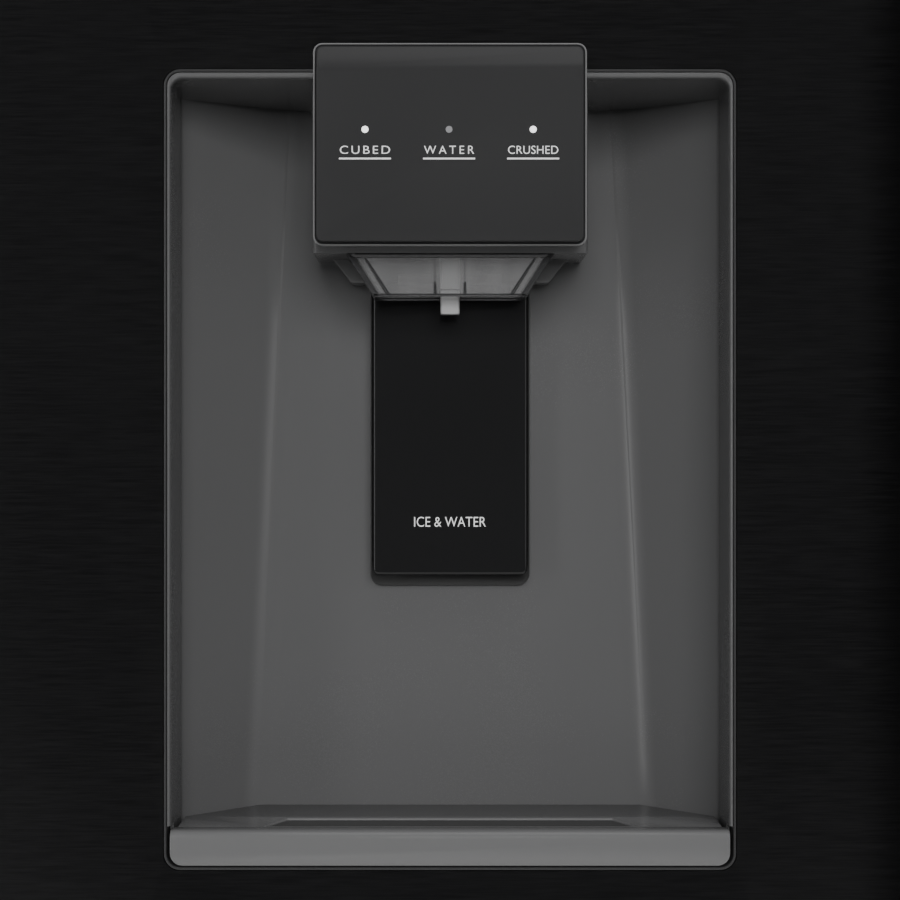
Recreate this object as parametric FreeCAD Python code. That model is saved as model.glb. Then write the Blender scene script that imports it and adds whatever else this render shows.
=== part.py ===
import FreeCAD, Part
import os
from math import cos, pi, sin

# French door refrigerator, millimetres. +X is to the right, -Y is the front, +Z is up.
# The origin is the middle of the whole outline, at floor level.

# Overall sizes
HALF_W = 454.0
CASE_TOP = 1752.0
SIDE_BOTTOM = 30.0
CASE_FRONT = -295.0
BACK_OUT = 423.0
REAR_MOST = 437.5
SHEET = 2.0

# Compartments
INNER_X = 400.0
FRESH_FLOOR = 748.0
FRESH_TOP = 1700.0
COMP_BACK = 340.0
FREEZER_FLOOR = 120.0
FREEZER_TOP = 682.0
STEP_Y = 210.0
STEP_Z = 302.0
MACHINE_Y = 262.0
MACHINE_TOP = 250.0
FOAM_BOTTOM = 62.0

# Doors and drawer front
FACE_Y = -380.0
DOOR_BACK = -305.0
DOOR_OUT_X = 453.0
DOOR_IN_X = 2.0
DOOR_Z0 = 702.0
DOOR_Z1 = 1748.0
DRAWER_Z0 = 62.0
DRAWER_Z1 = 694.0
SKIN = 1.5
SKIN_BACK = DOOR_BACK - 2.0
GASKET_FACE = CASE_FRONT - 0.3
GASKET_W = 12.0
EDGE_R = 6.0

# Door hinges
HINGE_X = 432.0
HINGE_Y = -342.5
PIN_R = 6.0
RUN_FIT = 0.05

# Handles
HANDLE_FRONT = -437.5
BAR = 20.0
HANDLE_X = 36.0
HANDLE_Z0 = 800.0
HANDLE_Z1 = 1650.0
POST_INSET = 45.0
DRAWER_BAR_X = 400.0
DRAWER_BAR_Z = 640.0

# Ice and water dispenser, in the left door. Heights are about DISP_Z.
DISP_X = -236.0
DISP_Z = 1190.0
HOLE_HALF = 124.2
HOLE_LOW = -182.2
HOLE_HIGH = 165.2
HOLE_R = 7.0
TRIM_W = 1.1
RECESS_HALF = 121.2
RECESS_FLOOR = -178.4
RECESS_CEILING = 158.0
STRAIGHT_DEPTH = 40.0
RECESS_DEPTH = 76.0
BACK_HALF_LOW = 91.2
BACK_HALF_HIGH = 74.7
WALL = 2.0
CEILING_T = 5.2
HEAD_HALF = 57.7
HEAD_LOW = 90.0
HEAD_HIGH = 174.7
HEAD_PROUD = 7.0
HEAD_DEPTH = 18.0
PASSAGE_HALF = 40.0
PASSAGE_Y0 = -358.0
PASSAGE_Y1 = -318.0
FUNNEL_DEPTH = 36.0
PADDLE_HALF = 35.5
PADDLE_LOW = -57.5
PADDLE_HIGH = 72.0
PADDLE_DEPTH = 60.0
PADDLE_T = 4.0
POCKET_HALF = 39.0
POCKET_LOW = -63.0
POCKET_DEPTH = 92.0

# Ice compartment inside the left door
ICE_X0 = -385.0
ICE_X1 = -80.0
ICE_BACK = -150.0
ICE_Z0 = 1375.0
ICE_Z1 = 1690.0
ICE_WALL = 12.0
DUCT_TOP = 1395.0
DUCT_BACK = -262.0
DUCT_REAR_WALL = -250.0

# Dykes of the inner door panels
DYKE_OUT = 392.0
DYKE_IN = 40.0
DYKE_W = 20.0
DYKE_BACK = -270.0
DYKE_Z0 = 765.0
DYKE_Z1 = 1690.0

# Base
LEG_X = 380.0
LEG_Y = -250.0
FRAME_Z0 = 52.0
FRAME_Z1 = 60.0
ROLLER_R = 24.0
ROLLER_Y = 370.0
ROLLER_X0 = 360.0
ROLLER_X1 = 392.0
AXLE_R = 4.0


def box(x0, x1, y0, y1, z0, z1):
    """A box from its low and high corners."""
    return Part.makeBox(x1 - x0, y1 - y0, z1 - z0, FreeCAD.Vector(x0, y0, z0))


def rod(x, y, z, radius, length, axis):
    """A cylinder that starts at a point and runs along an axis."""
    return Part.makeCylinder(radius, length, FreeCAD.Vector(x, y, z), FreeCAD.Vector(*axis))


def fuse(shapes):
    """One solid out of touching shapes."""
    return shapes[0].multiFuse(shapes[1:]).removeSplitter()


def mirrored(shape):
    """The same shape on the other side of the middle plane."""
    return shape.mirror(FreeCAD.Vector(0, 0, 0), FreeCAD.Vector(1, 0, 0))


def tub(x0, x1, y0, y1, z0, z1, wall):
    """A bin or drawer with an open top."""
    inside = box(x0 + wall, x1 - wall, y0 + wall, y1 - wall, z0 + wall, z1 + wall)
    return box(x0, x1, y0, y1, z0, z1).cut(inside)


def rounded_plate(half, low, high, y0, y1, radius):
    """An upright plate about the dispenser's middle, with round corners."""
    plate = box(DISP_X - half, DISP_X + half, y0, y1, DISP_Z + low, DISP_Z + high)
    corners = [e for e in plate.Edges if abs(e.tangentAt(e.FirstParameter).y) > 0.9]
    return plate.makeFillet(radius, corners)


def ring(x0, x1, y0, y1, z0, z1, width):
    """An upright rectangular frame."""
    inside = box(x0 + width, x1 - width, y0 - 1, y1 + 1, z0 + width, z1 - width)
    return box(x0, x1, y0, y1, z0, z1).cut(inside)


def export(name, *solids):
    """One node: one solid, or a group of separate ones."""
    shape = solids[0] if len(solids) == 1 else Part.makeCompound(list(solids))
    if not shape.isValid():
        print("not valid:", name)
    shape.exportStep("parts/" + name + ".step")


# Cabinet

def cabinet_wrapper():
    """Painted steel sides and top, with the front flange round both compartments."""
    outer = box(-HALF_W, HALF_W, CASE_FRONT, BACK_OUT - SHEET, SIDE_BOTTOM, CASE_TOP)
    inner_x = HALF_W - SHEET
    hollow = box(-inner_x, inner_x, CASE_FRONT - 1, BACK_OUT, SIDE_BOTTOM - 1, CASE_TOP - SHEET)
    flange = box(-inner_x, inner_x, CASE_FRONT, CASE_FRONT + SHEET, FOAM_BOTTOM, CASE_TOP - SHEET)
    liner_x = INNER_X + SHEET
    fresh = box(-liner_x, liner_x, CASE_FRONT - 1, 0, FRESH_FLOOR - SHEET, FRESH_TOP + SHEET)
    freezer = box(-liner_x, liner_x, CASE_FRONT - 1, 0, FREEZER_FLOOR - SHEET, FREEZER_TOP + SHEET)
    return fuse([outer.cut(hollow), flange.cut(fresh).cut(freezer)])


def cabinet_foam():
    """Insulation: sides, top, divider, back, floor and the step over the machine compartment."""
    y0 = CASE_FRONT + SHEET
    y1 = BACK_OUT - SHEET
    x0 = INNER_X + SHEET
    x1 = HALF_W - SHEET
    top = CASE_TOP - SHEET
    back = COMP_BACK + SHEET
    step = STEP_Y + SHEET
    return [
        box(x0, x1, y0, y1, SIDE_BOTTOM, top),
        box(-x1, -x0, y0, y1, SIDE_BOTTOM, top),
        box(-x0, x0, y0, back, FRESH_TOP + SHEET, top),
        box(-x0, x0, y0, back, FREEZER_TOP + SHEET, FRESH_FLOOR - SHEET),
        box(-x0, x0, back, y1, MACHINE_TOP, top),
        box(-x0, x0, y0, step, FOAM_BOTTOM, FREEZER_FLOOR - SHEET),
        box(-x0, x0, step, MACHINE_Y, FOAM_BOTTOM, STEP_Z - SHEET),
        box(-x0, x0, MACHINE_Y, back, MACHINE_TOP, STEP_Z - SHEET),
    ]


def fresh_liner():
    """Inner wall of the fresh food compartment."""
    x = INNER_X + SHEET
    y0 = CASE_FRONT + SHEET
    outer = box(-x, x, y0, COMP_BACK + SHEET, FRESH_FLOOR - SHEET, FRESH_TOP + SHEET)
    return outer.cut(box(-INNER_X, INNER_X, y0 - 1, COMP_BACK, FRESH_FLOOR, FRESH_TOP))


def freezer_liner():
    """Inner wall of the freezer, with its step over the machine compartment."""
    x = INNER_X + SHEET
    y0 = CASE_FRONT + SHEET
    low = box(-x, x, y0, STEP_Y + SHEET, FREEZER_FLOOR - SHEET, FREEZER_TOP + SHEET)
    high = box(-x, x, STEP_Y, COMP_BACK + SHEET, STEP_Z - SHEET, FREEZER_TOP + SHEET)
    low_in = box(-INNER_X, INNER_X, y0 - 1, STEP_Y, FREEZER_FLOOR, FREEZER_TOP)
    high_in = box(-INNER_X, INNER_X, STEP_Y - 1, COMP_BACK, STEP_Z, FREEZER_TOP)
    return fuse([low, high]).cut(fuse([low_in, high_in]))


def slotted_cover(half, y0, y1, z0, z1, pitch, slot):
    """A flat cover with rows of air slots."""
    cover = box(-half, half, y0, y1, z0, z1)
    slots = []
    z = z0 + pitch
    while z + slot < z1 - slot:
        for side in (-1, 1):
            middle = side * half / 2.0
            reach = half / 2.0 - pitch
            slots.append(box(middle - reach, middle + reach, y0 - 1, y1 + 1, z, z + slot))
        z += pitch
    return cover.cut(Part.makeCompound(slots))


def base_frame():
    """Floor frame, the plate under the compressor, and the roller brackets with their axles."""
    x = INNER_X - 2
    y0 = CASE_FRONT + 8
    y1 = BACK_OUT - 8
    inner = box(-x + 40, x - 40, y0 + 45, MACHINE_Y + 8, FRAME_Z0 - 1, FRAME_Z1 + 1)
    plate = box(-x, x, y0, y1, FRAME_Z0, FRAME_Z1).cut(inner)
    parts = []
    for side in (-1, 1):
        plate = plate.cut(rod(side * LEG_X, LEG_Y, FRAME_Z0 - 1, 8 + RUN_FIT, 20, (0, 0, 1)))
        for near in (ROLLER_X0 - 5, ROLLER_X1 + 1):
            x0 = min(side * near, side * (near + 4))
            parts.append(box(x0, x0 + 4, ROLLER_Y - 18, ROLLER_Y + 18, 12, FRAME_Z0))
        x0 = min(side * (ROLLER_X0 - 1), side * (ROLLER_X1 + 1))
        parts.append(rod(x0, ROLLER_Y, ROLLER_R, AXLE_R, ROLLER_X1 - ROLLER_X0 + 2, (1, 0, 0)))
    return fuse([plate] + parts)


def leveling_leg(side):
    """Screw leg with a wide foot and a hexagon for a spanner."""
    x = side * LEG_X
    foot = Part.makeCone(19, 15, 10, FreeCAD.Vector(x, LEG_Y, 0))
    points = [FreeCAD.Vector(x + 11 * cos(k * pi / 3), LEG_Y + 11 * sin(k * pi / 3), 10) for k in range(7)]
    hexagon = Part.Face(Part.makePolygon(points)).extrude(FreeCAD.Vector(0, 0, 8))
    return fuse([foot, hexagon, rod(x, LEG_Y, 18, 8, 42, (0, 0, 1))])


def roller(side):
    """Rear roller on a fixed axle."""
    x0 = min(side * ROLLER_X0, side * ROLLER_X1)
    width = ROLLER_X1 - ROLLER_X0
    wheel = rod(x0, ROLLER_Y, ROLLER_R, ROLLER_R, width, (1, 0, 0))
    wheel = wheel.makeChamfer(2, [e for e in wheel.Edges if e.Curve.TypeId == "Part::GeomCircle"])
    return wheel.cut(rod(x0 - 1, ROLLER_Y, ROLLER_R, AXLE_R + RUN_FIT, width + 2, (1, 0, 0)))


def compressor():
    """Welded shell on a foot plate, with the terminal box on its side."""
    x = 200.0
    y = 342.0
    shell = rod(x, y, 84, 66, 110, (0, 0, 1))
    rims = [e for e in shell.Edges if e.Curve.TypeId == "Part::GeomCircle"]
    shell = shell.makeFillet(30, rims)
    feet = [rod(x + i * 60, y + j * 48, FRAME_Z1, 9, 18, (0, 0, 1)) for i in (-1, 1) for j in (-1, 1)]
    plate = box(x - 75, x + 75, y - 62, y + 62, FRAME_Z1 + 18, FRAME_Z1 + 26)
    return fuse([shell, plate, box(x + 55, x + 92, y - 28, y + 28, 110, 165)] + feet)


def finned_coil(x0, x1, y0, y1, z0, z1, fins):
    """Tubes through a row of thin fins."""
    step = (x1 - x0 - SHEET) / (fins - 1)
    plates = [box(x0 + k * step, x0 + k * step + SHEET, y0, y1, z0, z1) for k in range(fins)]
    rows = [(i, j) for i in (0.25, 0.75) for j in (0.15, 0.38, 0.62, 0.85)]
    tubes = [rod(x0, y0 + i * (y1 - y0), z0 + j * (z1 - z0), 4, x1 - x0, (1, 0, 0)) for i, j in rows]
    return fuse(plates + tubes)


def fan(centre, axis, radius, blades, depth):
    """Hub with flat tilted blades, turning about X or Y."""
    hub = Part.makeCylinder(radius * 0.3, depth)
    parts = [hub]
    for k in range(blades):
        blade = Part.makeBox(radius - 4, radius * 0.5, 2, FreeCAD.Vector(2, -radius * 0.25, depth / 2 - 1))
        blade.rotate(FreeCAD.Vector(0, 0, depth / 2), FreeCAD.Vector(1, 0, 0), 28)
        blade.rotate(FreeCAD.Vector(0, 0, 0), FreeCAD.Vector(0, 0, 1), k * 360.0 / blades)
        parts.append(blade)
    shape = fuse(parts)
    turn = FreeCAD.Rotation(FreeCAD.Vector(0, 0, 1), FreeCAD.Vector(*axis))
    return shape.transformed(FreeCAD.Placement(FreeCAD.Vector(*centre), turn).toMatrix())


def top_hinge(side):
    """Hinge arm screwed to the case top, with its pin down into the door."""
    x = side * HINGE_X
    arm = box(x - 18, x + 18, HINGE_Y - 18, -200, CASE_TOP, CASE_TOP + 4)
    return fuse([arm, rod(x, HINGE_Y, CASE_TOP - 24, PIN_R, 26, (0, 0, 1))])


def hinge_cover(side):
    """Moulded cover over the top hinge."""
    x0 = min(side * 375, side * (HALF_W - 1))
    x1 = max(side * 375, side * (HALF_W - 1))
    cover = box(x0, x1, FACE_Y + 8, -150, CASE_TOP, CASE_TOP + 28)
    upright = [e for e in cover.Edges if abs(e.tangentAt(e.FirstParameter).z) > 0.9]
    cover = cover.makeFillet(12, upright)
    return cover.cut(box(x0 + 3, x1 - 3, FACE_Y + 11, -153, CASE_TOP - 1, CASE_TOP + 25))


def center_hinge(side):
    """Bracket between a door and the drawer, with its pin up into the door."""
    x = side * HINGE_X
    x0 = min(side * 436, side * 452)
    plate = box(x - 18, x + 18, HINGE_Y - 18, CASE_FRONT, DRAWER_Z1 + 2, DRAWER_Z1 + 6)
    tab = box(x0, x0 + 16, CASE_FRONT - 3, CASE_FRONT, 660, 730)
    return fuse([plate, tab, rod(x, HINGE_Y, DRAWER_Z1 + 4, PIN_R, 26, (0, 0, 1))])


# Fresh food compartment

SHELF_FRONT = -130.0
SHELF_HEIGHTS = (1240.0, 1460.0)
CRISPER_Z0 = 752.0
CRISPER_Z1 = 985.0
CRISPER_FRONT = -110.0


def shelf(side, z):
    """Half-width glass shelf that reaches its side wall."""
    x0 = min(side * 6, side * INNER_X)
    return box(x0, x0 + INNER_X - 6, SHELF_FRONT, 300, z, z + 5)


def crisper(side):
    """Produce drawer with a thicker front and a pull lip."""
    x0 = min(side * 8, side * 392)
    body = tub(x0, x0 + 384, CRISPER_FRONT, 310, CRISPER_Z0, CRISPER_Z1, 3)
    lip = box(x0 + 20, x0 + 364, CRISPER_FRONT - 14, CRISPER_FRONT, CRISPER_Z1 - 26, CRISPER_Z1 - 14)
    return fuse([body, lip])


FILTER_X = 250.0
FILTER_Z = 1664.0
FILTER_R = 20.0


def filter_housing():
    """Socket for the water filter, under the ceiling."""
    block = box(FILTER_X - 35, FILTER_X + 35, 0, 240, FILTER_Z - 32, FRESH_TOP)
    return block.cut(rod(FILTER_X, -1, FILTER_Z, FILTER_R + 0.3, 181, (0, 1, 0)))


def water_filter():
    """Cartridge with a grip bar, turned a quarter to lock."""
    body = rod(FILTER_X, -60, FILTER_Z, FILTER_R, 235, (0, 1, 0))
    grip = box(FILTER_X - 16, FILTER_X + 16, -74, -60, FILTER_Z - 3, FILTER_Z + 3)
    return fuse([body, grip])


FAN_Z = 615.0


def freezer_duct_cover():
    """Back wall of the freezer in front of the evaporator, with the fan's air hole."""
    cover = box(-INNER_X + 2, INNER_X - 2, 258, 266, STEP_Z, FREEZER_TOP)
    return cover.cut(rod(0, 250, FAN_Z, 52, 30, (0, 1, 0)))


# Doors

def round_front(x0, x1, y0, y1, z0, z1, radius):
    """A block whose two upright front edges are round."""
    block = box(x0, x1, y0, y1, z0, z1)
    front = [e for e in block.Edges
             if abs(e.tangentAt(e.FirstParameter).z) > 0.9 and e.BoundBox.YMax < y0 + 1]
    return block.makeFillet(radius, front)


def door_skin(x0, x1, z0, z1):
    """Formed steel front with its returned sides."""
    outer = round_front(x0, x1, FACE_Y, SKIN_BACK, z0, z1, EDGE_R)
    inside = round_front(x0 + SKIN, x1 - SKIN, FACE_Y + SKIN, SKIN_BACK + 1, z0 - 1, z1 + 1, EDGE_R - SKIN)
    return outer.cut(inside)


def full_core(x0, x1, z0, z1):
    """Foamed core with its inner panel, filling a whole skin."""
    return round_front(x0 + SKIN, x1 - SKIN, FACE_Y + SKIN, DOOR_BACK, z0 + 1, z1 - 1, EDGE_R - SKIN)


def core_block(x0, x1, z0, z1):
    """One block of a core that is made of several."""
    return box(x0, x1, FACE_Y + SKIN, DOOR_BACK, z0, z1)


def hinge_bores(shape, side):
    """Cut a door's top and bottom bushes."""
    x = side * HINGE_X
    bores = rod(x, HINGE_Y, DOOR_Z0 - 1, PIN_R + RUN_FIT, 30, (0, 0, 1))
    return shape.cut(bores).cut(rod(x, HINGE_Y, DOOR_Z1 - 28, PIN_R + RUN_FIT, 30, (0, 0, 1)))


def dykes(side):
    """Raised uprights that hold the door bins."""
    shapes = []
    for near in (DYKE_IN, DYKE_OUT - DYKE_W):
        x0 = min(side * near, side * (near + DYKE_W))
        shapes.append(box(x0, x0 + DYKE_W, DOOR_BACK, DYKE_BACK, DYKE_Z0, DYKE_Z1))
    return shapes


def left_door_core():
    """Core blocks round the dispenser, with the insulated back of the recess."""
    hole_x0 = DISP_X - HOLE_HALF - 1.5
    hole_x1 = DISP_X + HOLE_HALF + 1.5
    low = DISP_Z + HOLE_LOW - 1.5
    high = DISP_Z + HOLE_HIGH + 1.5
    z0 = DOOR_Z0 + 1
    z1 = DOOR_Z1 - 1
    whole = full_core(-DOOR_OUT_X, -DOOR_IN_X, DOOR_Z0, DOOR_Z1)
    hinge_side = hinge_bores(whole.common(core_block(-DOOR_OUT_X, hole_x0, z0, z1)), -1)
    duct_x0 = DISP_X - PASSAGE_HALF
    duct_x1 = DISP_X + PASSAGE_HALF
    back = box(DISP_X - 135, DISP_X + 135, DOOR_BACK, DUCT_REAR_WALL, DISP_Z - 200, high)
    shell_room = box(DISP_X - 104, DISP_X + 104, DOOR_BACK - 1, -300, DISP_Z - 184, high + 1)
    pocket_room = box(DISP_X - 43, DISP_X + 43, DOOR_BACK - 1, -285, DISP_Z - 67, DISP_Z + 84)
    return [
        hinge_side,
        whole.common(core_block(hole_x1, 0, z0, z1)),
        core_block(hole_x0, duct_x0, high, z1),
        core_block(duct_x1, hole_x1, high, z1),
        box(duct_x0, duct_x1, FACE_Y + SKIN, PASSAGE_Y0, high, z1),
        box(duct_x0, duct_x1, PASSAGE_Y0, DOOR_BACK, DUCT_TOP, z1),
        core_block(hole_x0, hole_x1, z0, low),
        back.cut(shell_room).cut(pocket_room),
        box(DISP_X - 135, duct_x0, DOOR_BACK, DUCT_REAR_WALL, high, ICE_Z0),
        box(duct_x1, DISP_X + 135, DOOR_BACK, DUCT_REAR_WALL, high, ICE_Z0),
        box(duct_x0, duct_x1, DUCT_BACK, DUCT_REAR_WALL, high, ICE_Z0),
    ]


def gasket(x0, x1, z0, z1):
    """Magnetic door seal."""
    return ring(x0, x1, DOOR_BACK, GASKET_FACE, z0, z1, GASKET_W)


def handle_bar(low, high, across, upright):
    """Square bar on two posts. It runs along Z when upright, else along X."""
    parts = []
    spans = [(low, high, HANDLE_FRONT, HANDLE_FRONT + BAR)]
    for start in (low + POST_INSET, high - POST_INSET - BAR):
        spans.append((start, start + BAR, HANDLE_FRONT + BAR, FACE_Y))
    for start, end, y0, y1 in spans:
        half = BAR / 2.0
        if upright:
            parts.append(box(across - half, across + half, y0, y1, start, end))
        else:
            parts.append(box(start, end, y0, y1, across - half, across + half))
    parts[0] = parts[0].makeFillet(4, parts[0].Edges)
    return fuse(parts)


def flip_mullion():
    """Hinged seal bar of the left door, folded back at rest."""
    x = -25.0
    y = -285.0
    z0 = FRESH_FLOOR + 14
    height = FRESH_TOP - FRESH_FLOOR - 28
    bar = box(x - 9, x + 9, y, y + 49, z0, z0 + height)
    return fuse([bar, rod(x, y, z0, 9, height, (0, 0, 1))])


# Dispenser

def trim_frame():
    """Thin frame round the recess."""
    y0 = FACE_Y - 0.6
    outer = rounded_plate(HOLE_HALF - 0.2, HOLE_LOW + 0.2, HOLE_HIGH - 0.2, y0, FACE_Y + 10, HOLE_R)
    half = HOLE_HALF - 0.2 - TRIM_W
    low = HOLE_LOW + 0.2 + TRIM_W
    high = HOLE_HIGH - 0.2 - TRIM_W
    return outer.cut(rounded_plate(half, low, high, y0 - 1, FACE_Y + 11, HOLE_R - TRIM_W))


def recess_section(depth, half_low, half_high, low, high):
    """One upright section of the recess, at a depth behind the door's face."""
    y = FACE_Y + depth
    corners = [(-half_low, low), (half_low, low), (half_high, high), (-half_high, high)]
    points = [FreeCAD.Vector(DISP_X + x, y, DISP_Z + z) for x, z in corners]
    return Part.makePolygon(points + points[:1])


def recess_body(half, low, high, back_low, back_high, start, depth):
    """Straight mouth, then side walls that slant in to the back."""
    front = recess_section(start, half, half, low, high)
    middle = recess_section(STRAIGHT_DEPTH, half, half, low, high)
    back = recess_section(depth, back_low, back_high, low, high)
    return fuse([Part.makeLoft([front, middle], True, True), Part.makeLoft([middle, back], True, True)])


def dispenser_housing():
    """Recess shell, open over the tray's lip, the ice passage and the paddle's pocket."""
    half = HOLE_HALF - 0.2 - TRIM_W - 0.3
    low = RECESS_FLOOR - WALL
    high = RECESS_CEILING + CEILING_T
    outer = recess_body(half, low, high, BACK_HALF_LOW + WALL, BACK_HALF_HIGH + WALL, 0, RECESS_DEPTH + WALL)
    outer = outer.common(rounded_plate(half, low, high, FACE_Y - 1, FACE_Y + RECESS_DEPTH + 5, HOLE_R - TRIM_W))
    inner = recess_body(RECESS_HALF, RECESS_FLOOR, RECESS_CEILING, BACK_HALF_LOW,
                        BACK_HALF_HIGH, -1, RECESS_DEPTH)
    lip_room = box(DISP_X - 125, DISP_X + 125, FACE_Y - 1, FACE_Y + 12, DISP_Z - 183, DISP_Z - 164)
    passage = box(DISP_X - PASSAGE_HALF, DISP_X + PASSAGE_HALF, PASSAGE_Y0, PASSAGE_Y1,
                  DISP_Z + RECESS_CEILING - 1, DISP_Z + RECESS_CEILING + CEILING_T + 1)
    pocket = box(DISP_X - POCKET_HALF, DISP_X + POCKET_HALF, FACE_Y + RECESS_DEPTH - 1,
                 FACE_Y + RECESS_DEPTH + WALL + 1, DISP_Z + POCKET_LOW, DISP_Z + 80)
    return outer.cut(inner).cut(lip_room).cut(passage).cut(pocket)


def control_head():
    """Touch panel with its sloping top edge and the case behind it."""
    y0 = FACE_Y - HEAD_PROUD
    y1 = FACE_Y - 0.8
    slope = 10.0
    outline = [(y0, HEAD_LOW), (y1, HEAD_LOW), (y1, HEAD_HIGH), (y0 + 2, HEAD_HIGH - 1), (y0, HEAD_HIGH - slope)]
    points = [FreeCAD.Vector(DISP_X - HEAD_HALF, y, DISP_Z + z) for y, z in outline]
    face = Part.Face(Part.makePolygon(points + points[:1]))
    plate = face.extrude(FreeCAD.Vector(2 * HEAD_HALF, 0, 0))
    case = box(DISP_X - 55, DISP_X + 55, y1, FACE_Y + HEAD_DEPTH, DISP_Z + HEAD_LOW + 2, DISP_Z + 157)
    return fuse([plate, case])


def head_housing():
    """Block under the ceiling that carries the ice passage and the chute's side arms."""
    low = DISP_Z + 87
    high = DISP_Z + RECESS_CEILING
    y0 = FACE_Y + HEAD_DEPTH
    y1 = FACE_Y + RECESS_DEPTH - 1
    block = box(DISP_X - 61, DISP_X + 61, y0, y1, low, high)
    x0 = DISP_X - PASSAGE_HALF
    x1 = DISP_X + PASSAGE_HALF
    block = block.cut(box(x0, x1, PASSAGE_Y0, PASSAGE_Y1, low - 1, high + 1))
    arms = []
    for side in (-1, 1):
        outline = [(38, 76.5), (45.3, 76.5), (55, 89), (38, 89)]
        points = [FreeCAD.Vector(DISP_X + side * x, FACE_Y + 56, DISP_Z + z) for x, z in outline]
        face = Part.Face(Part.makePolygon(points + points[:1]))
        arms.append(face.extrude(FreeCAD.Vector(0, 17.5, 0)))
    return fuse([block] + arms)


def ellipse_wire(half_x, half_y, z):
    """A level ellipse about the ice chute's middle."""
    centre = FreeCAD.Vector(DISP_X, FACE_Y + FUNNEL_DEPTH, DISP_Z + z)
    return Part.Wire(Part.Ellipse(centre, half_x, half_y).toShape())


def chute_funnel():
    """Clear oval funnel that guides the ice into the glass."""
    outer = Part.makeLoft([ellipse_wire(45.6, 17.5, 86.8), ellipse_wire(34, 15, 68)], True, True)
    inner = Part.makeLoft([ellipse_wire(43.6, 15.5, 86.9), ellipse_wire(32, 13, 67.9)], True, True)
    return outer.cut(inner)


def water_nozzle():
    """Water spout in the middle of the funnel, on a thin arm."""
    y = FACE_Y + FUNNEL_DEPTH
    spout = rod(DISP_X, y, DISP_Z + 59.5, 4.4, 34, (0, 0, 1))
    arm = box(DISP_X - 3, DISP_X + 3, PASSAGE_Y0, y, DISP_Z + 88, DISP_Z + 93.5)
    bore = rod(DISP_X, y, DISP_Z + 59, 2.6, 26, (0, 0, 1))
    return fuse([spout, arm]).cut(bore)


def paddle():
    """Push pad that hangs from its pivot in front of the back wall."""
    y = FACE_Y + PADDLE_DEPTH
    pad = box(DISP_X - PADDLE_HALF, DISP_X + PADDLE_HALF, y, y + PADDLE_T, DISP_Z + PADDLE_LOW,
              DISP_Z + PADDLE_HIGH)
    corners = [e for e in pad.Edges if abs(e.tangentAt(e.FirstParameter).y) > 0.9]
    pad = pad.makeFillet(2.8, corners)
    hanger = box(DISP_X - 20, DISP_X + 20, y + 1, y + 3, DISP_Z + PADDLE_HIGH - 4, DISP_Z + 76)
    barrel = rod(DISP_X - 24, y + 2, DISP_Z + 78, 3, 48, (1, 0, 0))
    return fuse([pad, hanger, barrel])


def paddle_pocket():
    """Sunk tub behind the paddle."""
    y0 = FACE_Y + RECESS_DEPTH - 2
    y1 = FACE_Y + POCKET_DEPTH
    low = DISP_Z + POCKET_LOW + 0.3
    high = DISP_Z + 79.7
    half = POCKET_HALF - 0.3
    outer = box(DISP_X - half, DISP_X + half, y0, y1, low, high)
    inner = box(DISP_X - half + 1.5, DISP_X + half - 1.5, y0 - 1, y1 - 1.5, low + 1.5, high - 1.5)
    return outer.cut(inner)


def drip_tray():
    """Shelf with a front lip and a shallow well."""
    z1 = DISP_Z - 165.0
    lip = box(DISP_X - 121.6, DISP_X + 121.6, FACE_Y, FACE_Y + 11, DISP_Z - 180.4, z1 - 2.4)
    low = [e for e in lip.Edges
           if abs(e.tangentAt(e.FirstParameter).y) > 0.9 and e.BoundBox.ZMax < DISP_Z - 180]
    lip = lip.makeFillet(5.5, low)
    outline = [(-119.5, 2), (119.5, 2), (119.5, 40), (90.5, 74), (-90.5, 74), (-119.5, 40)]
    points = [FreeCAD.Vector(DISP_X + x, FACE_Y + d, DISP_Z - 177.6) for x, d in outline]
    shelf_top = Part.Face(Part.makePolygon(points + points[:1])).extrude(FreeCAD.Vector(0, 0, 12.6))
    well_line = [(-82, 13), (82, 13), (73, 35), (-73, 35)]
    well_points = [FreeCAD.Vector(DISP_X + x, FACE_Y + d, z1 - 5) for x, d in well_line]
    well = Part.Face(Part.makePolygon(well_points + well_points[:1])).extrude(FreeCAD.Vector(0, 0, 6))
    return fuse([lip, shelf_top]).cut(well)


def duct_flap():
    """Lid of the ice passage, hinged at its rear edge."""
    z = DISP_Z + RECESS_CEILING + 4.5
    y = PASSAGE_Y1 - 3
    plate = box(DISP_X - 37, DISP_X + 37, PASSAGE_Y0 + 2, y, z - 1, z + 1)
    return fuse([plate, rod(DISP_X - 37, y, z, 2, 74, (1, 0, 0))])


# Ice compartment

def ice_box():
    """Insulated box on the inner door, open to the back and over the ice passage."""
    w = ICE_WALL
    outer = box(ICE_X0, ICE_X1, DOOR_BACK, ICE_BACK, ICE_Z0, ICE_Z1)
    hollow = box(ICE_X0 + w, ICE_X1 - w, DOOR_BACK + 3, ICE_BACK + 1, ICE_Z0 + w, ICE_Z1 - w)
    way = box(DISP_X - PASSAGE_HALF, DISP_X + PASSAGE_HALF, DOOR_BACK - 1, DUCT_BACK, ICE_Z0 - 1, DUCT_TOP)
    return outer.cut(hollow).cut(way)


ICE_BIN_Z0 = ICE_Z0 + ICE_WALL + 0.5
AUGER_Y = -222.0
AUGER_Z = ICE_BIN_Z0 + 46


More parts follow.
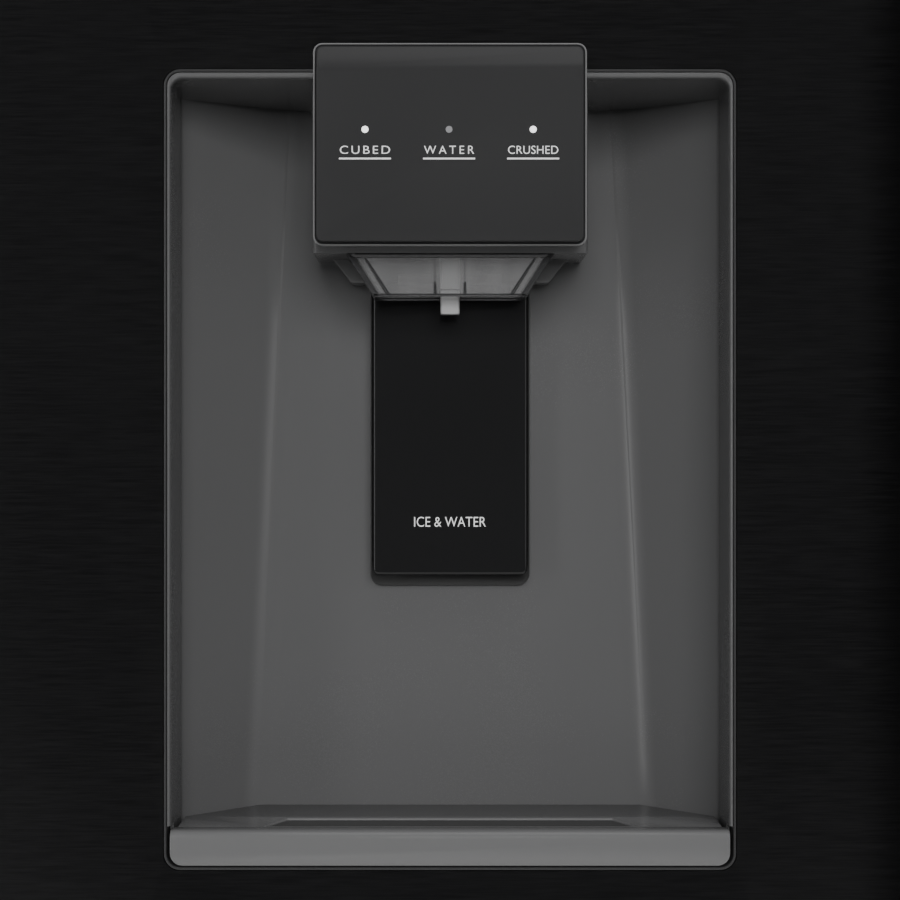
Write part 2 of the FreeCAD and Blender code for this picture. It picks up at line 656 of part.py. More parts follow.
def ice_bucket():
    """Ice bin with its outlet over the passage, and a front cover that closes the box."""
    w = ICE_WALL + 0.6
    bin_shape = tub(ICE_X0 + w, ICE_X1 - w, -274, ICE_BACK - 6, ICE_BIN_Z0, ICE_BIN_Z0 + 130, 3)
    bin_shape = bin_shape.cut(box(DISP_X - 36, DISP_X + 36, -275, DUCT_BACK, ICE_BIN_Z0 - 1, ICE_BIN_Z0 + 60))
    cover = box(ICE_X0 + w, ICE_X1 - w, ICE_BACK - 6, ICE_BACK, ICE_BIN_Z0, ICE_Z1 - w)
    return fuse([bin_shape, cover])


def ice_auger():
    """Stirring shaft with arms set round it in a spiral."""
    x0 = ICE_X0 + ICE_WALL + 5
    length = ICE_X1 - ICE_X0 - 2 * ICE_WALL - 10
    parts = [rod(x0, AUGER_Y, AUGER_Z, 5, length, (1, 0, 0))]
    arms = 9
    for k in range(arms):
        x = x0 + (k + 0.5) * length / arms
        angle = k * pi / 3
        parts.append(rod(x, AUGER_Y, AUGER_Z, 4, 36, (0, cos(angle), sin(angle))))
    return fuse(parts)


def ice_maker():
    """Mould tray with its drive box, above the bucket."""
    y0 = DOOR_BACK + 3
    tray = box(ICE_X0 + 25, ICE_X1 - 60, y0, y0 + 90, 1600, 1650)
    cups = []
    for k in range(7):
        x = ICE_X0 + 32 + k * 31
        cups.append(box(x, x + 26, y0 + 12, y0 + 78, 1620, 1651))
    drive = box(ICE_X1 - 60, ICE_X1 - 20, y0, y0 + 95, 1590, 1665)
    return fuse([tray.cut(Part.makeCompound(cups)), drive])


# Right door and freezer fittings

BIN_X0 = DYKE_IN + DYKE_W + 1.0
BIN_X1 = DYKE_OUT - DYKE_W - 1.0
BIN_BACK = -205.0
BIN_HEIGHTS = (1010.0, 1200.0, 1390.0)
DAIRY_Z0 = 1560.0
DAIRY_Z1 = 1682.0


def dairy_box():
    """Dairy compartment, open on the side that its lid closes."""
    outer = box(BIN_X0, BIN_X1, DOOR_BACK, BIN_BACK, DAIRY_Z0, DAIRY_Z1)
    return outer.cut(box(BIN_X0 + 3, BIN_X1 - 3, DOOR_BACK + 3, BIN_BACK + 1, DAIRY_Z0 + 3, DAIRY_Z1 - 3))


def dairy_lid():
    """Lid that swings up from its top edge."""
    y = BIN_BACK + 4
    z = DAIRY_Z1 - 4
    plate = box(BIN_X0 + 2, BIN_X1 - 2, y - 1.5, y + 1.5, DAIRY_Z0 + 2, z)
    return fuse([plate, rod(BIN_X0 + 2, y, z, 3, BIN_X1 - BIN_X0 - 4, (1, 0, 0))])


RAIL_Z0 = 300.0
RAIL_Z1 = 330.0
BASKET_HALF = 350.0


def rail(side, near, far, y0, y1, lower):
    """One slide member beside the basket."""
    x0 = min(side * near, side * far)
    return box(x0, x0 + far - near, y0, y1, RAIL_Z0 + lower, RAIL_Z1 - lower)


def freezer_basket():
    """Deep basket with its inner slide members."""
    body = tub(-BASKET_HALF, BASKET_HALF, DOOR_BACK + 20, 195, 150, 420, 3)
    rails = [rail(side, BASKET_HALF, 371.5, DOOR_BACK + 20, 190, 4) for side in (-1, 1)]
    return fuse([body] + rails)


def drawer_core():
    """Foamed core of the drawer front and its inner pan."""
    return [
        full_core(-DOOR_OUT_X, DOOR_OUT_X, DRAWER_Z0, DRAWER_Z1),
        box(-380, 380, DOOR_BACK, DOOR_BACK + 20, 135, 665),
    ]


def build():
    os.makedirs("parts", exist_ok=True)

    export("cabinet_wrapper", cabinet_wrapper())
    export("cabinet_foam", *cabinet_foam())
    export("cabinet_liner", fresh_liner(), freezer_liner())
    back_x = HALF_W - SHEET
    export("back_panel", box(-back_x, back_x, BACK_OUT - SHEET, BACK_OUT, MACHINE_TOP + 1, CASE_TOP - 1))
    export("machine_cover", slotted_cover(INNER_X, BACK_OUT - SHEET, BACK_OUT, 40, MACHINE_TOP, 16, 6))
    export("toe_grille", slotted_cover(INNER_X, CASE_FRONT, CASE_FRONT + 8, 8, 58, 9, 4))
    export("base_frame", base_frame())
    export("compressor", compressor())
    condenser = finned_coil(-330, -120, 280, 400, FRAME_Z1, 200, 22)
    motor = fuse([box(-120, -116, 300, 380, FRAME_Z1, 200), rod(-117, 340, 140, 20, 20, (1, 0, 0))])
    export("condenser", fuse([condenser, motor]))
    export("condenser_fan", fan((-96.5, 340, 140), (1, 0, 0), 60, 5, 22))
    export("top_hinges", top_hinge(-1), top_hinge(1))
    export("hinge_covers", hinge_cover(-1), hinge_cover(1))
    export("center_hinges", center_hinge(-1), center_hinge(1))
    inlet = fuse([box(-320, -280, BACK_OUT, BACK_OUT + 2.5, 280, 320),
                  rod(-300, BACK_OUT + 2, 300, 5.5, REAR_MOST - BACK_OUT - 2, (0, 1, 0))])
    export("water_inlet", inlet)
    gland = rod(300, BACK_OUT, 180, 9, 9, (0, 1, 0)).cut(rod(300, BACK_OUT - 1, 180, 4.2, 11, (0, 1, 0)))
    export("cord_gland", gland)

    export("shelf_glass", *[shelf(side, z) for z in SHELF_HEIGHTS for side in (-1, 1)])
    export("crisper_cover", box(-INNER_X, INNER_X, SHELF_FRONT, COMP_BACK - 22, 1000, 1006))
    export("crisper_left", crisper(-1))
    export("crisper_right", crisper(1))
    fresh_duct = box(-110, 110, COMP_BACK - 22, COMP_BACK, 780, 1660)
    export("duct_covers", fresh_duct, freezer_duct_cover())
    export("filter_housing", filter_housing())
    export("water_filter", water_filter())
    export("evaporator", finned_coil(-250, 250, 275, 335, 320, 555, 40))
    export("evaporator_fan", fan((0, 276, FAN_Z), (0, 1, 0), 45, 5, 18))

    export("leveling_leg_left", leveling_leg(-1))
    export("leveling_leg_right", leveling_leg(1))
    export("rear_rollers", roller(-1), roller(1))

    left_skin = door_skin(-DOOR_OUT_X, -DOOR_IN_X, DOOR_Z0, DOOR_Z1)
    hole = rounded_plate(HOLE_HALF, HOLE_LOW, HOLE_HIGH, FACE_Y - 1, FACE_Y + 6, HOLE_R)
    export("left_door_skin", left_skin.cut(hole))
    export("left_door_liner", *(left_door_core() + [dykes(-1)[0]]))
    export("left_door_gasket", gasket(-HINGE_X, -DOOR_IN_X - GASKET_W, 712, 1740))
    export("left_door_handle", handle_bar(HANDLE_Z0, HANDLE_Z1, -HANDLE_X, True))
    export("flip_mullion", flip_mullion())
    export("dispenser_trim", trim_frame())
    export("dispenser_housing", dispenser_housing())
    export("control_head", control_head())
    export("head_housing", head_housing())
    export("chute_funnel", chute_funnel())
    export("water_nozzle", water_nozzle())
    export("paddle", paddle())
    export("paddle_pocket", paddle_pocket())
    export("drip_tray", drip_tray())
    export("duct_flap", duct_flap())
    export("ice_box", ice_box())
    export("ice_bucket", ice_bucket())
    export("ice_auger", ice_auger())
    export("ice_maker", ice_maker())

    export("right_door_skin", door_skin(DOOR_IN_X, DOOR_OUT_X, DOOR_Z0, DOOR_Z1))
    right_core = full_core(DOOR_IN_X, DOOR_OUT_X, DOOR_Z0, DOOR_Z1)
    export("right_door_liner", hinge_bores(right_core, 1), *dykes(1))
    export("right_door_gasket", gasket(DOOR_IN_X + GASKET_W, HINGE_X, 712, 1740))
    export("right_door_handle", handle_bar(HANDLE_Z0, HANDLE_Z1, HANDLE_X, True))
    bins = [tub(BIN_X0, BIN_X1, DOOR_BACK, BIN_BACK, z, z + 90, 3) for z in BIN_HEIGHTS]
    export("right_door_bins", *(bins + [dairy_box()]))
    export("dairy_lid", dairy_lid())

    export("freezer_drawer_skin", door_skin(-DOOR_OUT_X, DOOR_OUT_X, DRAWER_Z0, DRAWER_Z1))
    export("freezer_drawer_liner", *drawer_core())
    export("freezer_gasket", gasket(-430, 430, 72, 688))
    export("freezer_handle", handle_bar(-DRAWER_BAR_X, DRAWER_BAR_X, DRAWER_BAR_Z, False))
    export("freezer_basket", freezer_basket())
    export("freezer_tray", tub(-348, 348, DOOR_BACK + 21, 30, 421, 520, 3))
    sides = (-1, 1)
    export("freezer_rails_middle", *[rail(s, 371.8, 385.6, DOOR_BACK + 22, 195, 2) for s in sides])
    export("freezer_rails_outer", *[rail(s, 386, INNER_X, DOOR_BACK + 22, 205, 0) for s in sides])


build()
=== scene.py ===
import math

import bpy
from mathutils import Matrix, Vector


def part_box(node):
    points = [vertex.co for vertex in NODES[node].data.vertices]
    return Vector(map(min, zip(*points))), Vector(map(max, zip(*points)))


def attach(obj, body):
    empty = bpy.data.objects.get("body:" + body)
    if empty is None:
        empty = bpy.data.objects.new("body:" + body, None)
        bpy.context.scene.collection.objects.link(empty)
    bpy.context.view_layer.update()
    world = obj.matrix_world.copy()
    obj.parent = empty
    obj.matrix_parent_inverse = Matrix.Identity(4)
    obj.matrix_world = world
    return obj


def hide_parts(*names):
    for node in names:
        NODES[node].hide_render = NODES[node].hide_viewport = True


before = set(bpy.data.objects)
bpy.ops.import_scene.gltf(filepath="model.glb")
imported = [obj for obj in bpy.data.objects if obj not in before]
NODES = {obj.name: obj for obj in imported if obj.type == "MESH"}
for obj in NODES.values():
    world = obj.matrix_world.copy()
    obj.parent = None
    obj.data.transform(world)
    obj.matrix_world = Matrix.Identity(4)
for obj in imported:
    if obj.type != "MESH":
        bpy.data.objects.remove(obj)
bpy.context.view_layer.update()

MM = 0.001


def reach(node):
    """Low and high corners of a CAD node, as plain vectors."""
    low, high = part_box(node)
    return low.copy(), high.copy()


# Places that the rest is measured from
TRIM_LOW, TRIM_HIGH = reach("dispenser_trim")
DISP_X = (TRIM_LOW.x + TRIM_HIGH.x) / 2
DISP_Z = TRIM_LOW.z + 182 * MM
FACE_Y = TRIM_LOW.y + 0.6 * MM
CASE_LOW, CASE_HIGH = reach("cabinet_wrapper")


# ---------------------------------------------------------------- shaders

class Signal:
    """A value socket that Python sums can use. Each sum adds Math nodes."""

    def __init__(self, shader, socket):
        self.shader = shader
        self.socket = socket

    def math(self, operation, *values, clamp=False):
        inputs = dict(enumerate(values))
        return self.shader.add("ShaderNodeMath", {"operation": operation, "use_clamp": clamp}, inputs)

    def __add__(self, other):
        return self.math("ADD", self, other)

    def __mul__(self, other):
        return self.math("MULTIPLY", self, other)

    def clamped(self):
        return self.math("ADD", self, 0.0, clamp=True)

    def above(self, low, high):
        """0 under low, 1 over high, smooth between."""
        settings = {"interpolation_type": "SMOOTHSTEP"}
        return self.shader.add("ShaderNodeMapRange", settings, {0: self, 1: low, 2: high})


class Shader:
    """One material: its Principled BSDF, and nodes in front of it."""

    def __init__(self, name, colour, roughness, metallic=0.0, **constants):
        self.material = bpy.data.materials.new(name)
        self.material.use_nodes = True
        self.material.diffuse_color = (*colour, 1.0)
        self.tree = self.material.node_tree
        self.surface = self.tree.nodes["Principled BSDF"]
        self.set("Base Color", (*colour, 1.0))
        self.set("Roughness", roughness)
        self.set("Metallic", metallic)
        for key, value in constants.items():
            self.set(key.replace("_", " "), value)
        self.place = self.add("ShaderNodeTexCoord", {}, {}, "Object")

    def set(self, name, value):
        """Give one of the surface's own sockets a value or a link."""
        socket = self.surface.inputs[name]
        if isinstance(value, Signal):
            self.tree.links.new(value.socket, socket)
        else:
            socket.default_value = value

    def add(self, kind, settings, inputs, output=0):
        """One node: its type, its settings, its sockets. Gives back one of its outputs."""
        node = self.tree.nodes.new(kind)
        for key, value in settings.items():
            setattr(node, key, value)
        for key, value in inputs.items():
            if isinstance(value, Signal):
                self.tree.links.new(value.socket, node.inputs[key])
            else:
                node.inputs[key].default_value = value
        return Signal(self, node.outputs[output])

    def stretched(self, scale):
        """Object coordinates stretched by a scale on each axis."""
        inputs = {"Vector": self.place, "Scale": scale}
        return self.add("ShaderNodeMapping", {"vector_type": "POINT"}, inputs)

    def noise(self, scale, detail=3.0, where=None):
        inputs = {"Vector": where or self.place, "Scale": scale, "Detail": detail, "Roughness": 0.5}
        return self.add("ShaderNodeTexNoise", {}, inputs)

    def mix(self, amount, first, second):
        """Blend two colours by a value."""
        colours = [(*c, 1.0) if isinstance(c, tuple) and len(c) == 3 else c for c in (first, second)]
        inputs = {0: amount, 6: colours[0], 7: colours[1]}
        return self.add("ShaderNodeMix", {"data_type": "RGBA"}, inputs, 2)

    def bump(self, height, strength, distance):
        inputs = {"Height": height, "Strength": strength, "Distance": distance}
        self.set("Normal", self.add("ShaderNodeBump", {}, inputs))


def shade(colour, factor):
    """A colour made lighter or darker."""
    return tuple(min(1.0, c * factor) for c in colour)


def brushed(name, colour, roughness, grain, metallic=0.6):
    """Brushed, tinted sheet. The grain's short axis is the one with the large scale."""
    s = Shader(name, colour, roughness, metallic)
    fine = s.noise(1.0, 1.0, s.stretched(grain))
    broad = s.noise(1.0, 1.0, s.stretched(tuple(g * 0.4 for g in grain)))
    cloud = s.noise(2.2, 3.0)
    mixed = fine * 0.6 + broad * 0.4
    s.set("Base Color", s.mix(mixed.above(0.3, 0.7), shade(colour, 0.72), shade(colour, 1.3)))
    s.set("Roughness", mixed * 0.12 + cloud * 0.06 + (roughness - 0.09))
    s.bump(mixed, 0.12, 0.0001)
    return s.material


def moulded(name, colour, roughness, texture=900.0, depth=0.00006, spread=0.06, metallic=0.0, **constants):
    """Moulded plastic or paint with a fine texture and a faint mottle."""
    s = Shader(name, colour, roughness, metallic, **constants)
    grain = s.noise(texture, 2.0)
    cloud = s.noise(9.0, 4.0)
    s.set("Base Color", s.mix(cloud.above(0.25, 0.75), shade(colour, 1 - spread), shade(colour, 1 + spread)))
    s.set("Roughness", cloud * 0.08 + grain * 0.05 + (roughness - 0.065))
    s.bump(grain, 0.35, depth)
    return s.material


def clear(name, colour, alpha, roughness, streak=(40.0, 40.0, 14.0), spread=0.16):
    """Clear moulding with flow marks in its opacity and roughness. With a grey colour and a large spread, as for the
    chute, these paint in reflection as grey haze and streaks.
    """
    s = Shader(name, colour, roughness, IOR=1.49, Specular_IOR_Level=0.7)
    flow = s.noise(1.0, 3.0, s.stretched(streak))
    s.set("Alpha", (flow * spread + (alpha - spread / 2)).clamped())
    s.set("Roughness", flow * 0.12 + roughness)
    s.bump(flow, 0.2, 0.00006)
    s.material.use_transparency_overlap = False
    return s.material


def build_finishes():
    """Every finish by name."""
    f = {}
    black = (0.0125, 0.0125, 0.0130)
    f["door"] = brushed("brushed black steel, level grain", black, 0.38, (70.0, 1900.0, 1900.0))
    f["upright"] = brushed("brushed black steel, upright grain", shade(black, 1.8), 0.30, (1900.0, 1900.0, 70.0), 0.8)
    f["level"] = brushed("brushed black steel, level bar", shade(black, 1.8), 0.30, (70.0, 1900.0, 1900.0), 0.8)
    f["case"] = moulded("textured case paint", (0.030, 0.030, 0.032), 0.46, 520.0, 0.00012)
    f["zinc sheet"] = galvanised()
    f["foam"] = moulded("insulation foam", (0.80, 0.70, 0.42), 0.9, 160.0, 0.0008, 0.10)
    f["liner"] = moulded("white liner", (0.80, 0.81, 0.82), 0.28, 300.0, 0.00003, 0.015)
    f["dark plastic"] = moulded("dark grey moulding", (0.035, 0.035, 0.037), 0.48)
    f["recess"] = moulded("recess lining", (0.094, 0.094, 0.095), 0.26, 2400.0, 0.000001, 0.008)
    f["panel"] = moulded("control panel", (0.026, 0.026, 0.0265), 0.38, 1400.0, 0.000002, 0.008)
    f["tray"] = moulded("tray plastic", (0.132, 0.132, 0.133), 0.22, 900.0, 0.000002, 0.01)
    f["trim"] = moulded("trim plastic", (0.034, 0.034, 0.0345), 0.32, 900.0, 0.00002, 0.02)
    f["pad"] = moulded("gloss pad", (0.0105, 0.0105, 0.0108), 0.10, 300.0, 0.000004, 0.02)
    # Pocket plastic is darker than the lining: painted shade for the pocket behind and below the pad.
    f["pocket"] = moulded("pocket plastic, painted shade", (0.024, 0.024, 0.024), 0.34, 900.0, 0.00002, 0.03)
    # Chute plastic: the grey, part-opaque coat and its strong streaks are painted reflection on the clear funnel.
    f["chute"] = clear("chute plastic, painted reflection", (0.26, 0.26, 0.262), 0.34, 0.05, (90.0, 60.0, 16.0), 0.5)
    # Chute edge: dark and nearly opaque, painted shade standing in for the dark lines along the funnel's thick clear
    # edges.
    f["chute edge, painted shade"] = clear("chute edge, painted shade", (0.036, 0.036, 0.037), 0.86, 0.08, (90.0, 90.0, 30.0), 0.3)
    f["bin"] = clear("bin plastic", (0.82, 0.86, 0.88), 0.34, 0.07)
    f["glass"] = clear("shelf glass", (0.70, 0.86, 0.82), 0.24, 0.03)
    f["seal"] = moulded("seal", (0.022, 0.022, 0.023), 0.62, 700.0, 0.00008)
    f["tread"] = moulded("roller tread", (0.03, 0.03, 0.03), 0.7, 400.0, 0.0002)
    f["enamel"] = moulded("black enamel", (0.010, 0.010, 0.011), 0.22, 220.0, 0.00010)
    f["fins"] = moulded("bare fins", (0.62, 0.63, 0.65), 0.34, 500.0, 0.00010, 0.10, 1.0)
    f["copper"] = moulded("copper pipe", (0.72, 0.33, 0.18), 0.30, 300.0, 0.00006, 0.15, 1.0)
    f["zinc"] = moulded("zinc plate", (0.52, 0.53, 0.55), 0.32, 260.0, 0.00008, 0.12, 1.0)
    f["brass"] = moulded("brass", (0.70, 0.49, 0.20), 0.28, 300.0, 0.00006, 0.08, 1.0)
    f["white"] = moulded("white moulding", (0.74, 0.75, 0.75), 0.42, 600.0, 0.00005, 0.02)
    # The printed legend also glows faintly: painted light, as the print is no lamp.
    f["legend"] = glowing("printed legend, painted glow", (0.86, 0.86, 0.86), 0.1)
    # Panel edging: a pale ring whose light colour is a painted highlight for the panel's rounded edge.
    f["edge"] = moulded("panel ring, painted highlight", (0.150, 0.150, 0.151), 0.30, 900.0, 0.000004, 0.02)
    # Drain insert: darker than the tray so that the well reads dark; painted shade for the well's hollow.
    f["drain"] = moulded("drain insert", (0.052, 0.052, 0.052), 0.42, 900.0, 0.00001, 0.02)
    f["spout"] = moulded("spout plastic", (0.34, 0.34, 0.342), 0.30, 900.0, 0.000004, 0.02)
    f["lens"] = glowing("lamp lens", (0.93, 0.93, 0.90), 0.05)
    f["lamp on"] = glowing("indicator, lit", (1.0, 1.0, 1.0), 1.1)
    f["lamp off"] = glowing("indicator, dim", (0.24, 0.24, 0.25), 0.06)
    f["floor"] = moulded("studio floor", (0.72, 0.72, 0.71), 0.55, 30.0, 0.0002, 0.02)
    return f


def galvanised():
    """Galvanised sheet with its spangle."""
    base = (0.46, 0.47, 0.48)
    s = Shader("galvanised sheet", base, 0.4, 1.0)
    inputs = {"Vector": s.place, "Scale": 55.0}
    spangle = s.add("ShaderNodeTexVoronoi", {"feature": "F1"}, inputs, "Distance")
    cloud = s.noise(7.0)
    s.set("Base Color", s.mix((spangle + cloud * 0.4).above(0.2, 1.0), shade(base, 0.95), shade(base, 1.05)))
    s.set("Roughness", spangle * 0.05 + 0.4)
    return s.material


def glowing(name, colour, strength):
    """Printed or lit mark: pale, with a little light of its own."""
    s = Shader(name, colour, 0.45, Emission_Strength=strength)
    worn = s.noise(1600.0, 2.0)
    tint = s.mix(worn.above(0.2, 0.8), shade(colour, 0.94), colour)
    s.set("Base Color", tint)
    s.set("Emission Color", tint)
    return s.material


FINISH = build_finishes()


# ---------------------------------------------------------------- modelling

def only(piece):
    """Make one piece the active one, alone."""
    bpy.ops.object.select_all(action="DESELECT")
    bpy.context.view_layer.objects.active = piece
    piece.select_set(True)


def settle(piece):
    """Put the piece's place into its mesh."""
    only(piece)
    bpy.ops.object.transform_apply(location=True, rotation=True, scale=True)
    return piece


def named(name):
    piece = bpy.context.object
    piece.name = name
    piece.data.name = name
    return settle(piece)


def block(name, low, high):
    """A box between two corners, to be shaped."""
    bpy.ops.object.select_all(action="DESELECT")
    low = Vector(low)
    high = Vector(high)
    bpy.ops.mesh.primitive_cube_add(size=1, location=(low + high) / 2, scale=high - low)
    return named(name)


SIDES = ((-1, "left"), (1, "right"))
TURNS = {"X": (0, math.pi / 2, 0), "Y": (math.pi / 2, 0, 0), "Z": (0, 0, 0)}


def rod(name, centre, radius, length, axis="Z", sides=32):
    """A round bar about its centre, along an axis. Radius and length are in millimetres."""
    bpy.ops.object.select_all(action="DESELECT")
    bpy.ops.mesh.primitive_cylinder_add(vertices=sides, radius=radius * MM, depth=length * MM, location=centre,
                                        rotation=TURNS[axis])
    return named(name)


def pick(piece, kind, test):
    """Go into edit mode with the faces, edges or corners that pass the test selected."""
    only(piece)
    mesh = piece.data
    mode = {"FACE": (False, False, True), "EDGE": (False, True, False), "VERT": (True, False, False)}[kind]
    bpy.context.tool_settings.mesh_select_mode = mode
    for part in (mesh.vertices, mesh.edges, mesh.polygons):
        part.foreach_set("select", [False] * len(part))
    if kind == "FACE":
        for face in mesh.polygons:
            face.select = test(face.center, face.normal)
    elif kind == "EDGE":
        for edge in mesh.edges:
            a, b = (mesh.vertices[k].co for k in edge.vertices)
            edge.select = test((a + b) / 2, (b - a).normalized())
    else:
        for corner in mesh.vertices:
            corner.select = test(corner.co)
    bpy.ops.object.mode_set(mode="EDIT")


def done():
    bpy.ops.object.mode_set(mode="OBJECT")


def bevel(piece, width, steps, test=lambda middle, way: True):
    """Round the edges that pass the test. The width is in millimetres."""
    pick(piece, "EDGE", test)
    bpy.ops.mesh.bevel(offset=width * MM, offset_type="OFFSET", segments=steps, profile=0.5, affect="EDGES",
                       clamp_overlap=True)
    done()
    return piece


def along(axis):
    """A test for edges that run along an axis, 0 to 2."""
    return lambda middle, way: abs(way[axis]) > 0.99


def soften(piece, width, steps=2, angle=50.0):
    """A bevel modifier on the sharp edges, applied. The width is in millimetres."""
    only(piece)
    modifier = piece.modifiers.new("soft edges", "BEVEL")
    modifier.width = width * MM
    modifier.segments = steps
    modifier.limit_method = "ANGLE"
    modifier.angle_limit = math.radians(angle)
    modifier.harden_normals = False
    bpy.ops.object.modifier_apply(modifier=modifier.name)
    return piece


def cut(piece, *tools):
    """Take other pieces out of this one."""
    for tool in tools:
        only(piece)
        modifier = piece.modifiers.new("cut", "BOOLEAN")
        modifier.operation = "DIFFERENCE"
        modifier.solver = "EXACT"
        modifier.object = tool
        bpy.ops.object.modifier_apply(modifier=modifier.name)
        bpy.data.objects.remove(tool)
    return piece


def joined(name, pieces):
    """Several loose pieces as one object."""
    bpy.ops.object.select_all(action="DESELECT")
    for piece in pieces:
        piece.select_set(True)
    bpy.context.view_layer.objects.active = pieces[0]
    bpy.ops.object.join()
    return named(name)


def smooth(piece, angle=32.0):
    only(piece)
    bpy.ops.object.shade_smooth_by_angle(angle=math.radians(angle))
    return piece


def finished(piece, body, finish, *nodes, angle=32.0):
    """Shade a piece, give it its finish, and let it ride on its body."""
    smooth(piece, angle)
    piece.data.materials.clear()
    piece.data.materials.append(FINISH[finish])
    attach(piece, body)
    if nodes:
        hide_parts(*nodes)
    return piece


def carry(finish, *names):
    """Give CAD nodes that keep their shape a finish."""
    for name in names:
        mesh = NODES[name].data
        mesh.materials.clear()
        mesh.materials.append(FINISH[finish])


def at(x, depth, z):
    """A point about the dispenser, in millimetres: right, back from the door's face, up."""
    return Vector((DISP_X + x * MM, FACE_Y + depth * MM, DISP_Z + z * MM))


def slab(name, half, depth0, depth1, low, high):
    """A block about the dispenser's middle."""
    return block(name, at(-half, depth0, low), at(half, depth1, high))


# ---------------------------------------------------------------- dispenser

RECESS_HALF = 121.2
RECESS_FLOOR = -178.4
RECESS_CEILING = 158.0
STRAIGHT_DEPTH = 40.0
RECESS_DEPTH = 76.0
MOUTH_TOP = 161.2
MOUTH_HALF = 121.25
LIP_ROOM = (124, -2, 11.5, -184, -163.2)
BACK_HALF_LOW = 91.2
BACK_HALF_HIGH = 74.7


def move_corners(piece, test, shift):
    """Move the corners that pass the test, by millimetres."""
    pick(piece, "VERT", test)
    bpy.ops.transform.translate(value=tuple(part * MM for part in shift))
    done()


def narrow(piece, depth, inset):
    """Bring both sides in, behind a depth."""
    back = at(0, depth, 0).y
    for side in (-1, 1):
        move_corners(piece, lambda p, s=side: p.y > back and (p.x - DISP_X) * s > 0, (-side * inset, 0, 0))


def recess_mouth():
    """Front rim of the lining, with round corners and a rolled edge."""
    rim = slab("recess_mouth", 122.6, 0, 6, -180.4, 163.6)
    bevel(rim, 5.7, 8, along(1))
    mouth = slab("mouth", MOUTH_HALF, -1, 8, -190, MOUTH_TOP)
    bevel(mouth, 5, 8, lambda m, w: abs(w.y) > 0.9 and m.z > DISP_Z)
    rolls = ((0.0, 1.9, 1.2), (0.3, 1.15, 0.6), (0.8, 0.5, 0.15), (1.6, 0.1, 0.0), (4.3, 0.0, 0.0))
    pick(mouth, "FACE", lambda c, n: True)
    for depth, rise, flare in rolls:
        bpy.ops.mesh.select_all(action="SELECT")
        bpy.ops.mesh.bisect(plane_co=at(0, depth, 0), plane_no=(0, 1, 0))
    done()
    for depth, rise, flare in rolls:
        low_y = -5 if depth == 0.0 else depth - 0.05
        near, far = at(0, low_y, 0).y, at(0, depth + 0.05, 0).y
        middle = at(0, 0, 0)
        pick(mouth, "VERT", lambda p, a=near, b=far: a < p.y < b)
        bpy.ops.transform.resize(value=(1 + flare / MOUTH_HALF, 1, 1), center_override=tuple(middle))
        done()
        move_corners(mouth, lambda p, a=near, b=far: a < p.y < b and p.z > DISP_Z + 150 * MM, (0, 0, rise))
    cut(rim, mouth)
    cut(rim, slab("lip_room", *LIP_ROOM))
    return rim


def recess_shell():
    """Recess lining: rolled mouth, slanting sides, filleted back."""
    shell = slab("recess_shell", RECESS_HALF, 5, RECESS_DEPTH, RECESS_FLOOR, RECESS_CEILING)
    pick(shell, "FACE", lambda c, n: n.y < -0.9)
    bpy.ops.mesh.delete(type="FACE")
    bpy.ops.mesh.select_all(action="SELECT")
    bpy.ops.mesh.bisect(plane_co=at(0, STRAIGHT_DEPTH, 0), plane_no=(0, 1, 0))
    done()
    back_y = at(0, RECESS_DEPTH - 1, 0).y
    front_y = at(0, 6, 0).y
    move_corners(shell, lambda p: p.y < front_y and p.z > DISP_Z, (0, 0, MOUTH_TOP - RECESS_CEILING))
    for side in (-1, 1):
        for high, half in ((True, BACK_HALF_HIGH), (False, BACK_HALF_LOW)):
            move_corners(shell, lambda p, s=side, h=high: p.y > back_y and (p.x - DISP_X) * s > 0
                         and (p.z > DISP_Z) == h, (side * (half - RECESS_HALF), 0, 0))
    bevel(shell, 9, 8, lambda m, w: m.y > back_y and abs(w.z) > 0.9)
    bevel(shell, 3, 4, lambda m, w: m.y > back_y - 1 * MM and m.z > DISP_Z and abs(w.x) > 0.9)
    middle_y = at(0, STRAIGHT_DEPTH, 0).y
    bevel(shell, 1.6, 3, lambda m, w: abs(m.y - middle_y) < 1e-4 and abs(w.z) > 0.9)
    pick(shell, "FACE", lambda c, n: True)
    bpy.ops.mesh.select_all(action="SELECT")
    bpy.ops.mesh.remove_doubles(threshold=1e-6)
    bpy.ops.mesh.normals_make_consistent(inside=False)
    done()
    only(shell)
    wall = shell.modifiers.new("wall", "SOLIDIFY")
    wall.thickness = 1.4 * MM
    outward = any(face.normal.y > 0.9 and face.center.y > back_y for face in shell.data.polygons)
    wall.offset = 1.0 if outward else -1.0
    wall.use_even_offset = True
    bpy.ops.object.modifier_apply(modifier=wall.name)
    cut(shell, slab("lip_room", *LIP_ROOM))
    cut(shell, slab("ice_way", 40, 22, 62, RECESS_CEILING - 3, RECESS_CEILING + 4))
    hole = slab("pocket_hole", 36.8, RECESS_DEPTH - 3, RECESS_DEPTH + 4, -62.8, 79.2)
    bevel(hole, 5.4, 6, lambda m, w: abs(w.y) > 0.9 and m.z < DISP_Z)
    cut(shell, hole)
    return finished(joined("recess_shell", [shell, recess_mouth()]), "left_door", "recess",
                    "dispenser_housing", angle=40)


def recess_trim():
    """Thin frame round the mouth, with a rounded front edge."""
    half = 124.0
    frame_piece = slab("recess_trim", half, -0.6, 10, -182, 165)
    bevel(frame_piece, 7, 8, along(1))
    inner = slab("trim_inside", half - 1.1, -3, 12, -180.9, 163.9)
    bevel(inner, 5.9, 8, along(1))
    cut(frame_piece, inner)
    soften(frame_piece, 0.3)
    return finished(frame_piece, "left_door", "trim", "dispenser_trim", angle=40)


